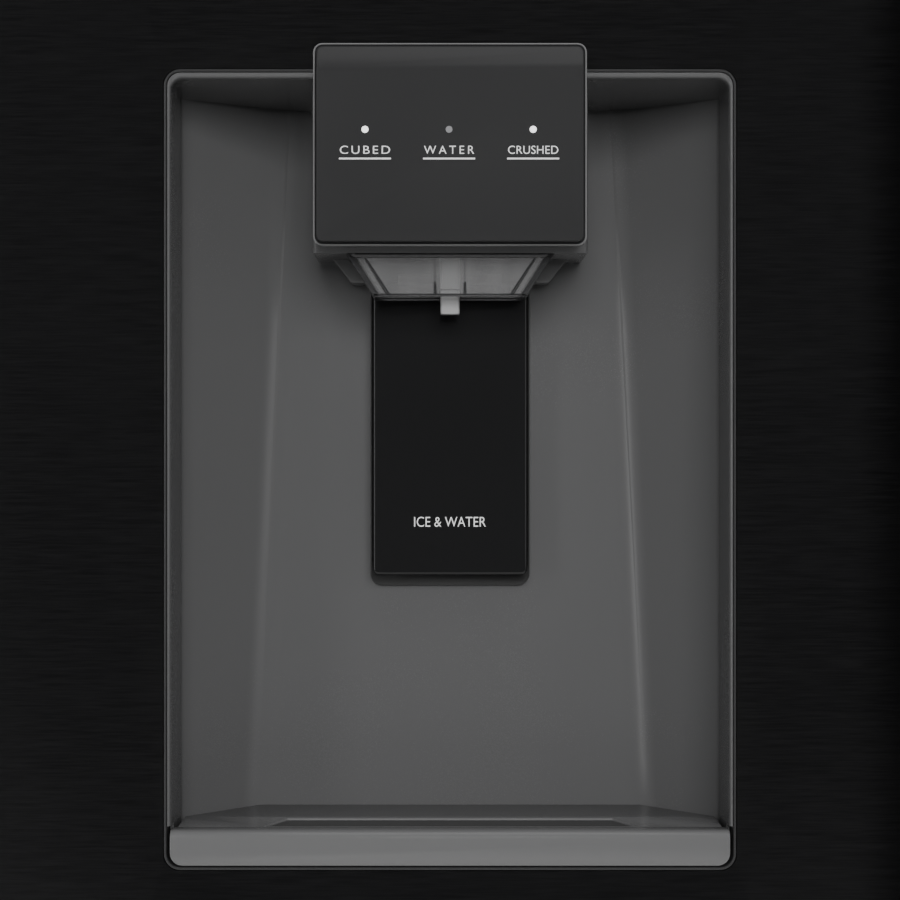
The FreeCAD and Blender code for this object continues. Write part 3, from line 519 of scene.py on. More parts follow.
def control_panel():
    """Touch panel with a sloping top band and rounded corners, and a black plate behind its edge that paints the
    shadow in the gap round it.
    """
    panel = slab("control_panel", 57.7, -7, -0.8, 90, 174.7)
    pick(panel, "FACE", lambda c, n: True)
    bpy.ops.mesh.bisect(plane_co=at(0, 0, 164.9), plane_no=(0, 0, 1))
    done()
    top = at(0, 0, 174).z
    move_corners(panel, lambda p: p.z > top and p.y < FACE_Y - 6 * MM, (0, 4.6, 0))
    bevel(panel, 2.8, 5, lambda m, w: abs(w.y) > 0.9 and abs(m.z - DISP_Z - 132 * MM) > 30 * MM)
    soften(panel, 0.55, 3, 40)
    back = slab("panel_back", 55, -0.8, 18, 92, 157)
    soften(back, 0.5, 2, 35)
    finished(joined("control_panel", [panel, back]), "left_door", "panel", "control_head", angle=25)
    # Painted shadow: a thin black plate, in the seal finish, stands in for the shade in the gap round the panel's
    # edge.
    shadow_plate = slab("panel_shadow_plate", 58.4, -0.9, -0.1, 89.3, 175.4)
    bevel(shadow_plate, 3.2, 5, along(1))
    soften(shadow_plate, 0.2, 1, 35)
    finished(shadow_plate, "left_door", "seal")
    # Painted highlight: this pale ring round the panel stands in for the light caught on the panel's rounded edge.
    edge = slab("panel_highlight_ring", 59.3, -1.5, 3, 88.5, 176.2)
    bevel(edge, 4, 5, along(1))
    inner = slab("edge_inside", 58.5, -5, 6, 89.2, 175.5)
    bevel(inner, 3.3, 5, along(1))
    cut(edge, inner)
    soften(edge, 0.25)
    finished(edge, "left_door", "edge")


def chute_block():
    """Block behind the panel, with the two tapered arms beside the funnel."""
    low_piece = slab("chute_block", 61, 18, 75, 87, RECESS_CEILING)
    bevel(low_piece, 2, 3, lambda m, w: abs(w.z) > 0.9)
    bevel(low_piece, 3, 5, lambda m, w: abs(w.y) > 0.9 and m.z < DISP_Z + 90 * MM)
    cut(low_piece, slab("passage", 40, 22, 62, 80, 165))
    soften(low_piece, 0.5)
    arms = []
    for side in (-1, 1):
        arm = block("arm", at(min(side * 38, side * 55), 56, 76.5), at(max(side * 38, side * 55), 74, 89))
        low = at(0, 0, 78).z
        move_corners(arm, lambda p, s=side: p.z < low and (p.x - DISP_X) * s > 50 * MM, (-side * 9.7, 0, 0))
        soften(arm, 0.9, 3, 35)
        arms.append(arm)
    return finished(joined("chute_block", [low_piece] + arms), "left_door", "recess",
                    "head_housing", angle=35)


def taper(name, half_top, depth_top, half_low, depth_low, high, low):
    """A plug with rounded corners that narrows downwards, about the chute's axis."""
    plug = block(name, at(-half_top, 36 - depth_top, low), at(half_top, 36 + depth_top, high))
    middle = at(0, 36, 0)
    pick(plug, "VERT", lambda p: p.z < DISP_Z + (low + 1) * MM)
    bpy.ops.transform.resize(value=(half_low / half_top, depth_low / depth_top, 1),
                             center_override=(middle.x, middle.y, DISP_Z + low * MM))
    done()
    bevel(plug, 5, 5, lambda m, w: abs(w.z) > 0.8)
    return plug


def ice_funnel():
    """Clear funnel, with a rolled rim, a top band and thick corner posts in a dark, nearly opaque finish: painted
    shade for the dark lines along the clear edges.
    """
    funnel = taper("ice_funnel", 45.4, 17.2, 34.2, 14.8, 86.8, 68)
    cut(funnel, taper("funnel_inside", 43.6, 15.4, 32.3, 12.9, 87.2, 67.6))
    finished(funnel, "left_door", "chute", "chute_funnel", angle=40)
    rim = taper("funnel_rim", 34.7, 15.2, 34.4, 14.9, 69.4, 68)
    cut(rim, taper("rim_inside", 32.6, 13.0, 32.2, 12.6, 71, 67))
    soften(rim, 0.7, 3, 40)
    top = taper("funnel_top", 46.2, 17.8, 45.4, 17.2, 86.9, 84.9)
    cut(top, taper("top_inside", 43.4, 15.2, 42.8, 14.6, 87.4, 84.4))
    soften(top, 0.5, 2, 40)
    posts = []
    for side in (-1, 1):
        for inward, half in ((0.0, 1.5), (5.6, 0.8)):
            post = block("post", at(-half, 19.0, 69), at(half, 22.4, 85.5))
            move_corners(post, lambda p: p.z > DISP_Z + 80 * MM, (side * 10.6, -0.2, 0))
            move_corners(post, lambda p: True, (side * (33.0 - inward), 0.2, 0))
            soften(post, 0.6, 2, 35)
            posts.append(post)
        rib = slab("rib", 0.6, 20.4, 23.0, 69, 86)
        move_corners(rib, lambda p: True, (side * 6.6, 0, 0))
        posts.append(rib)
    return finished(joined("funnel_frame", [rim, top] + posts), "left_door", "chute edge, painted shade",
                    angle=40)


def water_spout():
    """Square-shouldered spout with a stepped tip and a bore."""
    top = slab("water_spout", 4.5, 31.5, 40.5, 72, 94)
    bevel(top, 1.4, 3, along(2))
    tip = slab("tip", 4.3, 31.8, 40.2, 60.8, 71.6)
    bevel(tip, 1.4, 3, along(2))
    cut(tip, rod("bore", at(0, 36, 62), 2.6, 14))
    for piece in (top, tip):
        soften(piece, 0.5, 3)
    arm = slab("arm", 3, 22, 33, 88, 93.5)
    soften(arm, 0.5, 2, 35)
    return finished(joined("water_spout", [top, tip, arm]), "left_door", "spout", "water_nozzle",
                    angle=40)


def push_pad():
    """Gloss pad on its hanger and barrel."""
    pad = slab("push_pad", 35.5, 60, 64, -57.5, 72)
    bevel(pad, 2.8, 6, along(1))
    pick(pad, "FACE", lambda c, n: n.y < -0.9)
    bpy.ops.mesh.inset(thickness=1.1 * MM)
    bpy.ops.transform.translate(value=(0, -0.5 * MM, 0))
    done()
    soften(pad, 0.25, 2, 20)
    hanger = slab("hanger", 20, 61, 63, 68, 76)
    soften(hanger, 0.4, 2, 35)
    barrel = rod("barrel", at(0, 62, 78), 3, 48, "X")
    soften(barrel, 0.5)
    return finished(joined("push_pad", [pad, hanger, barrel]), "dispenser_paddle", "pad", "paddle",
                    angle=30)


def pad_pocket():
    """Sunk tub behind the pad, with a broad rounded ledge along its foot."""
    tub = slab("pad_pocket", 37.0, 73.6, 92, -63, 79.7)
    bevel(tub, 5.5, 6, lambda m, w: abs(w.y) > 0.9 and m.z < DISP_Z)
    inner = slab("tub_inside", 36.2, 70, 90.5, -57.2, 78.2)
    bevel(inner, 4.2, 6, lambda m, w: abs(w.y) > 0.9 and m.z < DISP_Z)
    cut(tub, inner)
    soften(tub, 0.3)
    # The pocket's dark finish is painted shade for the hollow under the pad.
    return finished(tub, "left_door", "pocket", "paddle_pocket", angle=35)


def drip_shelf():
    """Shelf with a rounded front lip and a shallow well with sloping sides."""
    lip = slab("drip_shelf", 121.6, 0, 10, -180.4, -165)
    bevel(lip, 5.5, 6, lambda m, w: abs(w.y) > 0.9 and m.z < DISP_Z - 175 * MM)
    bevel(lip, 3.6, 6, lambda m, w: abs(w.x) > 0.9 and m.z > DISP_Z - 170 * MM and m.y < FACE_Y + 1 * MM)
    soften(lip, 0.5)
    top = slab("shelf_top", 119.5, 9.5, 74, -177.6, -165.2)
    pick(top, "FACE", lambda c, n: True)
    bpy.ops.mesh.bisect(plane_co=at(0, 40, 0), plane_no=(0, 1, 0))
    done()
    narrow(top, 73, 31)
    well = slab("well", 82, 13, 35, -169.5, -160)
    narrow(well, 30, 9)
    move_corners(well, lambda p: p.y > at(0, 30, 0).y and p.z < at(0, 0, -165).z, (0, -0.6, 0))
    cut(top, well)
    soften(top, 0.5, 2, 40)
    # Painted shade: this darker insert lays the shade of the well's hollow into its colour.
    painted_shade_insert = slab("well_shade_insert", 81.6, 13.4, 34.6, -169.6, -166.0)
    narrow(painted_shade_insert, 30, 9)
    pick(painted_shade_insert, "FACE", lambda c, n: n.z > 0.9)
    bpy.ops.mesh.inset(thickness=1.6 * MM)
    bpy.ops.transform.translate(value=(0, 0, -0.8 * MM))
    done()
    soften(painted_shade_insert, 0.3, 2, 40)
    finished(painted_shade_insert, "tray", "drain")
    return finished(joined("drip_shelf", [lip, top]), "tray", "tray", "drip_tray", angle=30)


def word(name, text, height, centre, spread, body, width):
    """Printed word, raised a hair off its face, fitted to a height and a width."""
    bpy.ops.object.select_all(action="DESELECT")
    bpy.ops.object.text_add(location=(0, 0, 0), rotation=(math.pi / 2, 0, 0))
    text_piece = bpy.context.object
    text_piece.data.body = text
    text_piece.data.align_x = "CENTER"
    text_piece.data.align_y = "CENTER"
    text_piece.data.space_character = spread
    text_piece.data.offset = -0.004
    text_piece.data.extrude = 0.02
    text_piece.data.resolution_u = 6
    bpy.ops.object.convert(target="MESH")
    piece = named(name)
    size = piece.dimensions
    piece.scale = (width * MM / size.x, 0.06 * MM / size.y, height * MM / size.z)
    settle(piece)
    corners = [v.co for v in piece.data.vertices]
    middle = sum((Vector(map(f, *corners)) for f in (min, max)), Vector()) / 2
    piece.data.transform(Matrix.Translation(Vector(centre) - middle))
    return finished(piece, body, "legend")


def legends():
    """Function words, their underlines and the three indicator lamps."""
    columns = (("CUBED", -36.6, 1.30, "lamp on"), ("WATER", -0.4, 1.42, "lamp off"),
               ("CRUSHED", 35.8, 1.02, "lamp on"))
    for text, x, spread, lamp in columns:
        word("word_" + text.lower(), text, 3.5, at(x, -7.03, 129.2), spread, "left_door", 21.6)
        line = block("underline_" + text.lower(), at(x - 11.2, -7.06, 125.1), at(x + 11.2, -6.9, 125.8))
        soften(line, 0.03, 1, 35)
        finished(line, "left_door", "legend")
        lens = rod("lamp_" + text.lower(), at(x, -7.0, 138), 1.5, 0.5, "Y")
        soften(lens, 0.2, 3)
        finished(lens, "left_door", lamp)
    word("word_pad", "ICE & WATER", 4.6, at(0, 59.42, -33), 1.0, "dispenser_paddle", 33.0)


# ---------------------------------------------------------------- case and doors

def place(x, y, z):
    """A point in millimetres: right, back, up from the floor."""
    return Vector((x * MM, y * MM, z * MM))


def bar(name, x, y, z):
    """A block between three pairs of limits, in millimetres."""
    return block(name, place(x[0], y[0], z[0]), place(x[1], y[1], z[1]))


def pair(side, near, far):
    """Left and right limits of something that is mirrored about the middle."""
    return tuple(sorted((side * near, side * far)))


def hollow(name, x, y, z, wall, radius, open_side="top", rim=0.8):
    """A tub or box with round corners, open at its top or its back."""
    out = {"top": (0, 0, 1), "back": (0, 1, 0)}[open_side]
    tub = bar(name, x, y, z)
    bevel(tub, radius, 5, along(out.index(1)))
    far = 5
    inner = bar("inside", (x[0] + wall, x[1] - wall), (y[0] + wall, y[1] - wall + out[1] * (wall + far)),
                (z[0] + wall, z[1] - wall + out[2] * (wall + far)))
    bevel(inner, max(radius - wall, 1.0), 5, along(out.index(1)))
    cut(tub, inner)
    soften(tub, rim, 2, 45)
    return tub


def frame_round(name, x, y, z, width, radius):
    """An upright rectangular frame with round corners."""
    outer = bar(name, x, y, z)
    bevel(outer, radius, 5, along(1))
    inner = bar("inside", (x[0] + width, x[1] - width), (y[0] - 5, y[1] + 5), (z[0] + width, z[1] - width))
    bevel(inner, max(radius - width, 1.0), 5, along(1))
    return cut(outer, inner)


def screw_head(centre, axis, radius=4.0):
    """A low round head."""
    head = rod("screw_head", centre, radius, 1.8, axis, 20)
    soften(head, 0.6)
    return head


def case_shell():
    """Painted wrapper with rounded top edges, and the flange round both compartments."""
    low, high = CASE_LOW, CASE_HIGH
    shell = block("case_shell", low, high)
    bevel(shell, 5, 4, lambda m, w: abs(w.y) > 0.9 and m.z > high.z - 1 * MM)
    inside = block("case_inside", (low.x + 2 * MM, low.y - 0.01, low.z - 0.01),
                   (high.x - 2 * MM, high.y + 0.01, high.z - 2 * MM))
    cut(shell, inside)
    flange = bar("flange", (-452, 452), (-295, -293), (62, 1750))
    cut(flange, bar("fresh_mouth", (-402, 402), (-300, -290), (746, 1702)),
        bar("freezer_mouth", (-402, 402), (-300, -290), (118, 684)))
    soften(shell, 0.7, 2, 60)
    return finished(joined("case_shell", [shell, flange]), "cabinet", "case", "cabinet_wrapper",
                    angle=35)


def rear_sheet():
    """Rear sheet with pressed ribs and its screws."""
    sheet = bar("rear_sheet", (-452, 452), (421, 422.4), (251, 1751))
    ribs = []
    for x in (-300, -100, 100, 300):
        rib = bar("rib", (x - 14, x + 14), (421.8, 423), (380, 1640))
        bevel(rib, 12, 6, along(1))
        soften(rib, 0.9, 3)
        ribs.append(rib)
    finished(joined("rear_sheet", [sheet] + ribs), "cabinet", "zinc sheet", "back_panel", angle=35)
    heads = [screw_head(place(side * 440, 423, z), "Y") for side in (-1, 1) for z in (290, 640, 1000, 1360, 1710)]
    heads += [screw_head(place(x, 423.4, 238), "Y") for x in (-380, -130, 130, 380)]
    finished(joined("rear_screws", heads), "cabinet", "zinc")


def hinge_caps():
    """Moulded covers over the top hinges, rounded all over, with a screw in a well."""
    for side, word_side in SIDES:
        x = pair(side, 375, 453)
        cover = bar("hinge_cap_" + word_side, x, (-372, -150), (1752, 1780))
        bevel(cover, 12, 6, along(2))
        bevel(cover, 6, 5, lambda m, w: m.z > 1779 * MM and abs(w.z) < 0.5)
        inner = bar("cap_inside", (x[0] + 3, x[1] - 3), (-369, -153), (1740, 1776))
        cut(cover, inner)
        well = rod("screw_well", place(side * 414, -185, 1780), 8, 6)
        cut(cover, well)
        soften(cover, 0.5, 2, 60)
        cap_screw = screw_head(place(side * 414, -185, 1777.6), "Z", 5.0)
        finished(cap_screw, "cabinet", "zinc")
        if side < 0:
            left = cover
        else:
            finished(joined("hinge_caps", [left, cover]), "cabinet", "dark plastic", "hinge_covers")


HINGE_X = 432
HINGE_Y = -342.5
DOOR_RUN = (702, 1748)
DOORS = (("left_door", (-453, -2), DOOR_RUN, -HINGE_X), ("right_door", (2, 453), DOOR_RUN, HINGE_X),
         ("freezer_drawer", (-453, 453), (62, 694), None))


def door_shells():
    """Formed door skins, and the moulded caps that close their ends."""
    for body, x, z, hinge_x in DOORS:
        skin = bar(body + "_panel", x, (-380, -307), z)
        bevel(skin, 6, 6, lambda m, w: abs(w.z) > 0.9 and m.y < -379 * MM)
        inside = bar("skin_inside", (x[0] + 1.5, x[1] - 1.5), (-378.5, -300), (z[0] - 5, z[1] + 5))
        bevel(inside, 4.5, 6, lambda m, w: abs(w.z) > 0.9 and m.y < -378 * MM)
        cut(skin, inside)
        if body == "left_door":
            hole = slab("recess_hole", 124.2, -5, 8, -182.2, 165.2)
            bevel(hole, 7, 8, along(1))
            cut(skin, hole)
        soften(skin, 0.5, 2, 60)
        finished(skin, body, "door", body + "_skin")
        caps = []
        for low in (z[0] + 0.2, z[1] - 1.0):
            cap = bar(body + "_caps", (x[0] + 1.7, x[1] - 1.7), (-378.2, -305.6), (low, low + 0.8))
            bevel(cap, 4.4, 5, lambda m, w: abs(w.z) > 0.9 and m.y < -378 * MM)
            if hinge_x:
                cut(cap, rod("pin_hole", place(hinge_x, HINGE_Y, low), 7, 6))
            caps.append(cap)
        finished(joined(body + "_caps", caps), body, "dark plastic")


def inner_panels():
    """Inner door panels with rounded edges, and their uprights."""
    for body, x, z, hinge_x in DOORS[1:]:
        core = bar("core", (x[0] + 1.5, x[1] - 1.5), (-378.5, -305), (z[0] + 1, z[1] - 1))
        bevel(core, 4.5, 5, lambda m, w: abs(w.z) > 0.9 and m.y < -378 * MM)
        bevel(core, 3, 4, lambda m, w: m.y > -306 * MM)
        parts = [core]
        if hinge_x:
            cut(core, rod("low_bush", place(hinge_x, HINGE_Y, 716), 6.1, 32),
                rod("top_bush", place(hinge_x, HINGE_Y, 1736), 6.1, 32))
            for near in (40, 372):
                upright = bar("upright", (near, near + 20), (-306, -270), (765, 1690))
                bevel(upright, 6, 5, lambda m, w: m.y > -271 * MM)
                parts.append(upright)
        else:
            pan = bar("pan", (-380, 380), (-306, -285), (135, 665))
            bevel(pan, 12, 5, along(1))
            bevel(pan, 4, 4, lambda m, w: m.y > -286 * MM)
            parts.append(pan)
        soften(core, 0.4, 2, 60)
        finished(joined(body + "_inner", parts), body, "liner", body + "_liner", angle=35)


def seals():
    """Door seals: a foot in its groove, a hollow fold and a flat magnet face."""
    frames = (("left_door", "left_door_gasket", (-432, -14), (712, 1740)),
              ("right_door", "right_door_gasket", (14, 432), (712, 1740)),
              ("freezer_drawer", "freezer_gasket", (-430, 430), (72, 688)))
    for body, node, x, z in frames:
        foot = frame_round(body + "_seal", x, (-305, -302.6), z, 12, 3)
        fold = frame_round("fold", (x[0] + 2, x[1] - 2), (-302.8, -299), (z[0] + 2, z[1] - 2), 7, 3)
        face = frame_round("face", x, (-299.4, -295.4), z, 11, 4)
        for ring in (foot, fold, face):
            soften(ring, 1.1, 3)
        finished(joined(body + "_seal", [foot, fold, face]), body, "seal", node, angle=40)


def handle(name, body, node, low, high, across, upright):
    """Square bar with eased edges on two posts, each with a foot plate."""
    def limits(run, depth, half):
        side = (across - half, across + half)
        return (side, depth, run) if upright else (run, depth, side)

    grip = bar(name, *limits((low, high), (-437.4, -417.5), 10))
    bevel(grip, 4, 6, along(2 if upright else 0))
    soften(grip, 1.6, 4, 40)
    parts = [grip]
    for start in (low + 45, high - 65):
        post = bar("post", *limits((start, start + 20), (-419, -380.4), 8.6))
        bevel(post, 3, 4, along(1))
        plate = bar("foot_plate", *limits((start - 1.4, start + 21.4), (-383.4, -380.1), 9.9))
        bevel(plate, 3.6, 5, along(1))
        soften(plate, 0.8, 3, 40)
        parts += [post, plate]
    return finished(joined(name, parts), body, "upright" if upright else "level", node, angle=35)


def handles():
    handle("left_pull", "left_door", "left_door_handle", 800, 1650, -36, True)
    handle("right_pull", "right_door", "right_door_handle", 800, 1650, 36, True)
    handle("drawer_pull", "freezer_drawer", "freezer_handle", -400, 400, 640, False)


def flip_bar():
    """Folding seal bar with rounded edges and a groove along it."""
    low, high = reach("flip_mullion")
    strip = block("flip_bar", low, high)
    bevel(strip, 4, 5, along(2))
    soften(strip, 1.2, 3)
    groove = block("groove", (low.x - 1 * MM, low.y + 18 * MM, low.z + 20 * MM),
                   (low.x + 1.2 * MM, high.y - 8 * MM, high.z - 20 * MM))
    cut(strip, groove)
    return finished(strip, "mullion", "dark plastic", "flip_mullion", angle=40)


# ---------------------------------------------------------------- fresh food compartment

def shelves():
    """Glass shelves in moulded front and rear rails, on arms."""
    rails = []
    arms = []
    panes = []
    for z in (1240, 1460):
        for side in (-1, 1):
            x = pair(side, 6, 400)
            panes.append(soften(bar("shelf_panes", (x[0] + 1, x[1] - 1), (-128, 298), (z + 0.3, z + 4.7)), 1.2, 3))
            front = bar("front_rail", (x[0] + 0.4, x[1] - 0.4), (-131.5, -117), (z - 5, z + 7.4))
            bevel(front, 4, 5, lambda m, w: m.y < -131 * MM and abs(w.x) > 0.9)
            slot = bar("slot", (x[0] - 5, x[1] + 5), (-127, -100), (z + 0.1, z + 4.9))
            cut(front, slot)
            rear = bar("rear_rail", (x[0] + 0.4, x[1] - 0.4), (288, 300), (z - 4, z + 9))
            soften(rear, 1.6, 3)
            soften(front, 0.6)
            rails += [front, rear]
            for near in (30, 372):
                arm = bar("arm", pair(side, near, near + 3), (-112, 318), (z - 20, z - 0.2))
                move_corners(arm, lambda p: p.y < -100 * MM and p.z < (z - 10) * MM, (0, 0, 13))
                soften(arm, 0.5)
                arms.append(arm)
    finished(joined("shelf_panes", panes), "cabinet", "glass", "shelf_glass")
    finished(joined("shelf_rails", rails), "cabinet", "white")
    finished(joined("shelf_arms", arms), "cabinet", "white")


def shelf_ladders():
    """Slotted uprights on the rear wall, where the shelf arms hook in."""
    ladders = []
    for x in (-373.5, -31.5, 31.5, 373.5):
        ladder = bar("shelf_ladders", (x - 7, x + 7), (337, 340), (1040, 1670))
        soften(ladder, 0.8)
        slots = [bar("slot", (x - 2, x + 2), (330, 345), (1052 + k * 22, 1064 + k * 22)) for k in range(27)]
        cut(ladder, joined("slots", slots))
        ladders.append(ladder)
    finished(joined("shelf_ladders", ladders), "cabinet", "zinc")


def crisper_lid():
    """Glass cover over the crispers, in a moulded frame with the humidity slides."""
    pane = bar("crisper_pane", (-399, 399), (-128, 317), (1000.3, 1005.7))
    soften(pane, 1.2, 3)
    finished(pane, "cabinet", "glass", "crisper_cover")
    front = bar("crisper_frame", (-399.5, 399.5), (-133, -112), (990, 1008.5))
    bevel(front, 5, 5, lambda m, w: m.y < -132 * MM and abs(w.x) > 0.9)
    middle = bar("divider", (-5, 5), (-112, 300), (988, 999.8))
    soften(middle, 2, 3)
    parts = [front, middle]
    for side in (-1, 1):
        recess = bar("slide_recess", pair(side, 150, 250), (-134, -130), (995, 1003.5))
        bevel(recess, 3.5, 5, along(1))
        cut(front, recess)
        parts.append(soften(bar("slide_knob", pair(side, 178, 200), (-133.5, -129), (996.4, 1002.2)), 1.4, 3))
    soften(front, 0.6)
    finished(joined("crisper_frame", parts), "cabinet", "white")


def crispers():
    """Clear produce drawers with a rim, a pull lip and moulded ribs."""
    for side, word_side in SIDES:
        x = pair(side, 8, 392)
        drawer = hollow("produce_drawer_" + word_side, x, (-110, 310), (752, 985), 3, 14)
        rim = hollow("rim", (x[0] - 0.5, x[1] + 0.5), (-111, 310.5), (978, 985.4), 4.5, 15)
        floor_cut = bar("open_floor", (x[0] + 3, x[1] - 3), (-107, 307), (970, 990))
        bevel(floor_cut, 11, 5, along(2))
        cut(rim, floor_cut)
        lip = bar("pull_lip", (x[0] + 20, x[1] - 20), (-124, -108), (959, 971))
        bevel(lip, 5, 5, lambda m, w: m.y < -123 * MM)
        under = bar("finger_groove", (x[0] + 26, x[1] - 26), (-120, -112), (950, 966))
        cut(lip, under)
        soften(lip, 0.6)
        ribs = []
        for k in range(5):
            ribs.append(soften(bar("rib", (x[0] + 60 + k * 66, x[0] + 64 + k * 66), (-111.6, -109), (775, 945)),
                        1.2, 3))
        finished(joined("produce_drawer_" + word_side, [drawer, rim, lip] + ribs), "crisper_drawer_" + word_side,
                 "bin", "crisper_" + word_side)


FAN_Z = 615


def air_ducts():
    """Rear duct covers with rounded edges, air louvres and a fan guard."""
    tower = bar("air_duct", (-110, 110), (318, 340), (780, 1660))
    bevel(tower, 9, 5, lambda m, w: m.y < 319 * MM)
    louvres = []
    for z in (900, 1130, 1345, 1560):
        for k in range(4):
            louvres.append(bar("louvre", (-70, 70), (312, 323), (z + k * 11, z + 5 + k * 11)))
    cut(tower, joined("louvres", louvres))
    soften(tower, 0.5)
    wall = bar("freezer_wall", (-398, 398), (258, 266), (302, 682))
    slots = [bar("slot", (-300, 300), (250, 262), (330 + k * 14, 336 + k * 14)) for k in range(7)]
    cut(wall, joined("slots", slots), rod("fan_mouth", place(0, 262, FAN_Z), 52, 30, "Y", 48))
    soften(wall, 0.6)
    guard = []
    for radius in (14, 27, 40, 51):
        bpy.ops.object.select_all(action="DESELECT")
        bpy.ops.mesh.primitive_torus_add(location=place(0, 261, FAN_Z), rotation=TURNS["Y"], major_radius=radius * MM,
                                         minor_radius=1.3 * MM, major_segments=48, minor_segments=8)
        guard.append(named("guard_ring"))
    for turn in range(3):
        spoke = rod("spoke", (0, 0, 0), 1.3, 104, "Z", 10)
        spoke.rotation_euler = (0, math.pi * turn / 3, 0)
        spoke.location = place(0, 262.3, FAN_Z)
        guard.append(settle(spoke))
    finished(joined("air_duct", [tower, wall] + guard), "cabinet", "white", "duct_covers", angle=40)


def lamps():
    """Ceiling lamp lenses in their bezels."""
    for name, y, z in (("fresh_lamp", -70, 1700), ("freezer_lamp", -60, 682)):
        bezel = bar(name + "_bezel", (-95, 95), (y - 26, y + 26), (z - 6, z))
        bevel(bezel, 12, 6, along(2))
        bevel(bezel, 3, 4, lambda m, w: m.z < (z - 5.5) * MM)
        finished(bezel, "cabinet", "white", angle=40)
        lens = bar(name + "_lens", (-84, 84), (y - 17, y + 17), (z - 9, z - 5))
        bevel(lens, 9, 6, along(2))
        bevel(lens, 2.4, 4, lambda m, w: m.z < (z - 8.5) * MM)
        finished(lens, "cabinet", "lens", angle=40)


FILTER_X = 250
FILTER_Z = 1664


def filter_parts():
    """Filter socket with its rounded shell, and the cartridge with its grip."""
    socket = bar("filter_socket", (215, 285), (0, 240), (1632, 1700))
    bevel(socket, 14, 6, lambda m, w: abs(w.y) > 0.9 and m.z < 1640 * MM)
    bevel(socket, 3, 3, lambda m, w: m.y < 1 * MM)
    cut(socket, rod("socket_bore", place(FILTER_X, 85, FILTER_Z), 20.4, 190, "Y", 48))
    soften(socket, 0.5, 2, 55)
    finished(socket, "cabinet", "white", "filter_housing", angle=40)
    body = rod("water_cartridge", place(FILTER_X, 57.5, FILTER_Z), 20, 235, "Y", 48)
    soften(body, 2.2, 4)
    grip = bar("grip", (234, 266), (-74, -58), (1661, 1667))
    soften(grip, 2.4, 4)
    collar = rod("collar", place(FILTER_X, -40, FILTER_Z), 20.3, 5, "Y", 48)
    soften(collar, 1, 3)
    finished(joined("water_cartridge", [body, grip, collar]), "filter", "white", "water_filter",
             angle=40)


# ---------------------------------------------------------------- door fittings

def door_bins():
    """Clear door bins with rounded corners and a thick rim, and the dairy box."""
    parts = []
    for z in (1010, 1200, 1390):
        parts.append(hollow("door_bins", (61, 371), (-305, -205), (z, z + 90), 3, 10))
        rim = bar("rim", (60.4, 371.6), (-209, -203.8), (z + 78, z + 90.4))
        soften(rim, 2, 4)
        rail = bar("rail", (64, 368), (-207.5, -203.6), (z + 34, z + 40))
        soften(rail, 1.4, 3)
        parts += [rim, rail]
    parts.append(hollow("dairy_box", (61, 371), (-305, -205), (1560, 1682), 3, 6, "back"))
    finished(joined("door_bins", parts), "right_door", "bin", "right_door_bins", angle=40)
    lid = bar("dairy_cover", (63, 369), (-202.5, -199.5), (1562, 1678))
    bevel(lid, 7, 5, lambda m, w: abs(w.y) > 0.9 and m.z < 1570 * MM)
    soften(lid, 0.9, 3)
    barrel = rod("lid_barrel", place(216, -201, 1678), 3, 306, "X", 24)
    soften(barrel, 0.6)
    pull = bar("lid_pull", (176, 256), (-199.8, -196.6), (1565, 1571))
    soften(pull, 1.3, 3)
    finished(joined("dairy_cover", [lid, barrel, pull]), "dairy_door", "bin", "dairy_lid", angle=40)


def ice_parts():
    """Insulated ice box with its rounded shell, the bucket with its cover, and the mould tray."""
    box_shell = hollow("ice_chest", (-385, -80), (-305, -150), (1375, 1690), 12, 14, "back", 2.0)
    way = bar("ice_passage", (-276, -196), (-306, -262), (1370, 1395))
    cut(box_shell, way)
    finished(box_shell, "left_door", "white", "ice_box", angle=40)
    bucket = hollow("ice_bin", (-372.4, -92.6), (-274, -156), (1387.5, 1517.5), 3, 8)
    outlet = bar("outlet", (-272, -200), (-280, -262), (1380, 1447))
    cut(bucket, outlet)
    cover = bar("bin_cover", (-372.4, -92.6), (-156, -150), (1387.5, 1678))
    bevel(cover, 9, 5, along(1))
    bevel(cover, 2.4, 4, lambda m, w: m.y > -151 * MM)
    grip = bar("cover_grip", (-272, -194), (-152, -140), (1520, 1546))
    bevel(grip, 9, 6, along(1))
    cut(cover, grip)
    floor_of_grip = bar("grip_floor", (-270, -196), (-155.6, -154.6), (1522, 1544))
    soften(floor_of_grip, 0.3, 2, 35)
    soften(cover, 0.5, 2, 55)
    finished(joined("ice_bin", [bucket, cover, floor_of_grip]), "left_door", "bin", "ice_bucket",
             angle=40)
    tray = bar("ice_mould", (-360, -140), (-302, -212), (1600, 1650))
    bevel(tray, 8, 5, lambda m, w: abs(w.x) > 0.9 and m.z < 1610 * MM)
    cups = []
    for k in range(7):
        cup = bar("cup", (-353 + k * 31, -327 + k * 31), (-290, -224), (1620, 1660))
        bevel(cup, 10, 5, lambda m, w: abs(w.x) > 0.9 and m.z < 1625 * MM)
        cups.append(cup)
    cut(tray, joined("cups", cups))
    soften(tray, 0.6, 2, 55)
    drive = bar("drive_box", (-140, -100), (-302, -207), (1590, 1665))
    soften(drive, 4, 4)
    finished(joined("ice_mould", [tray, drive]), "left_door", "white", "ice_maker", angle=40)


# ---------------------------------------------------------------- freezer

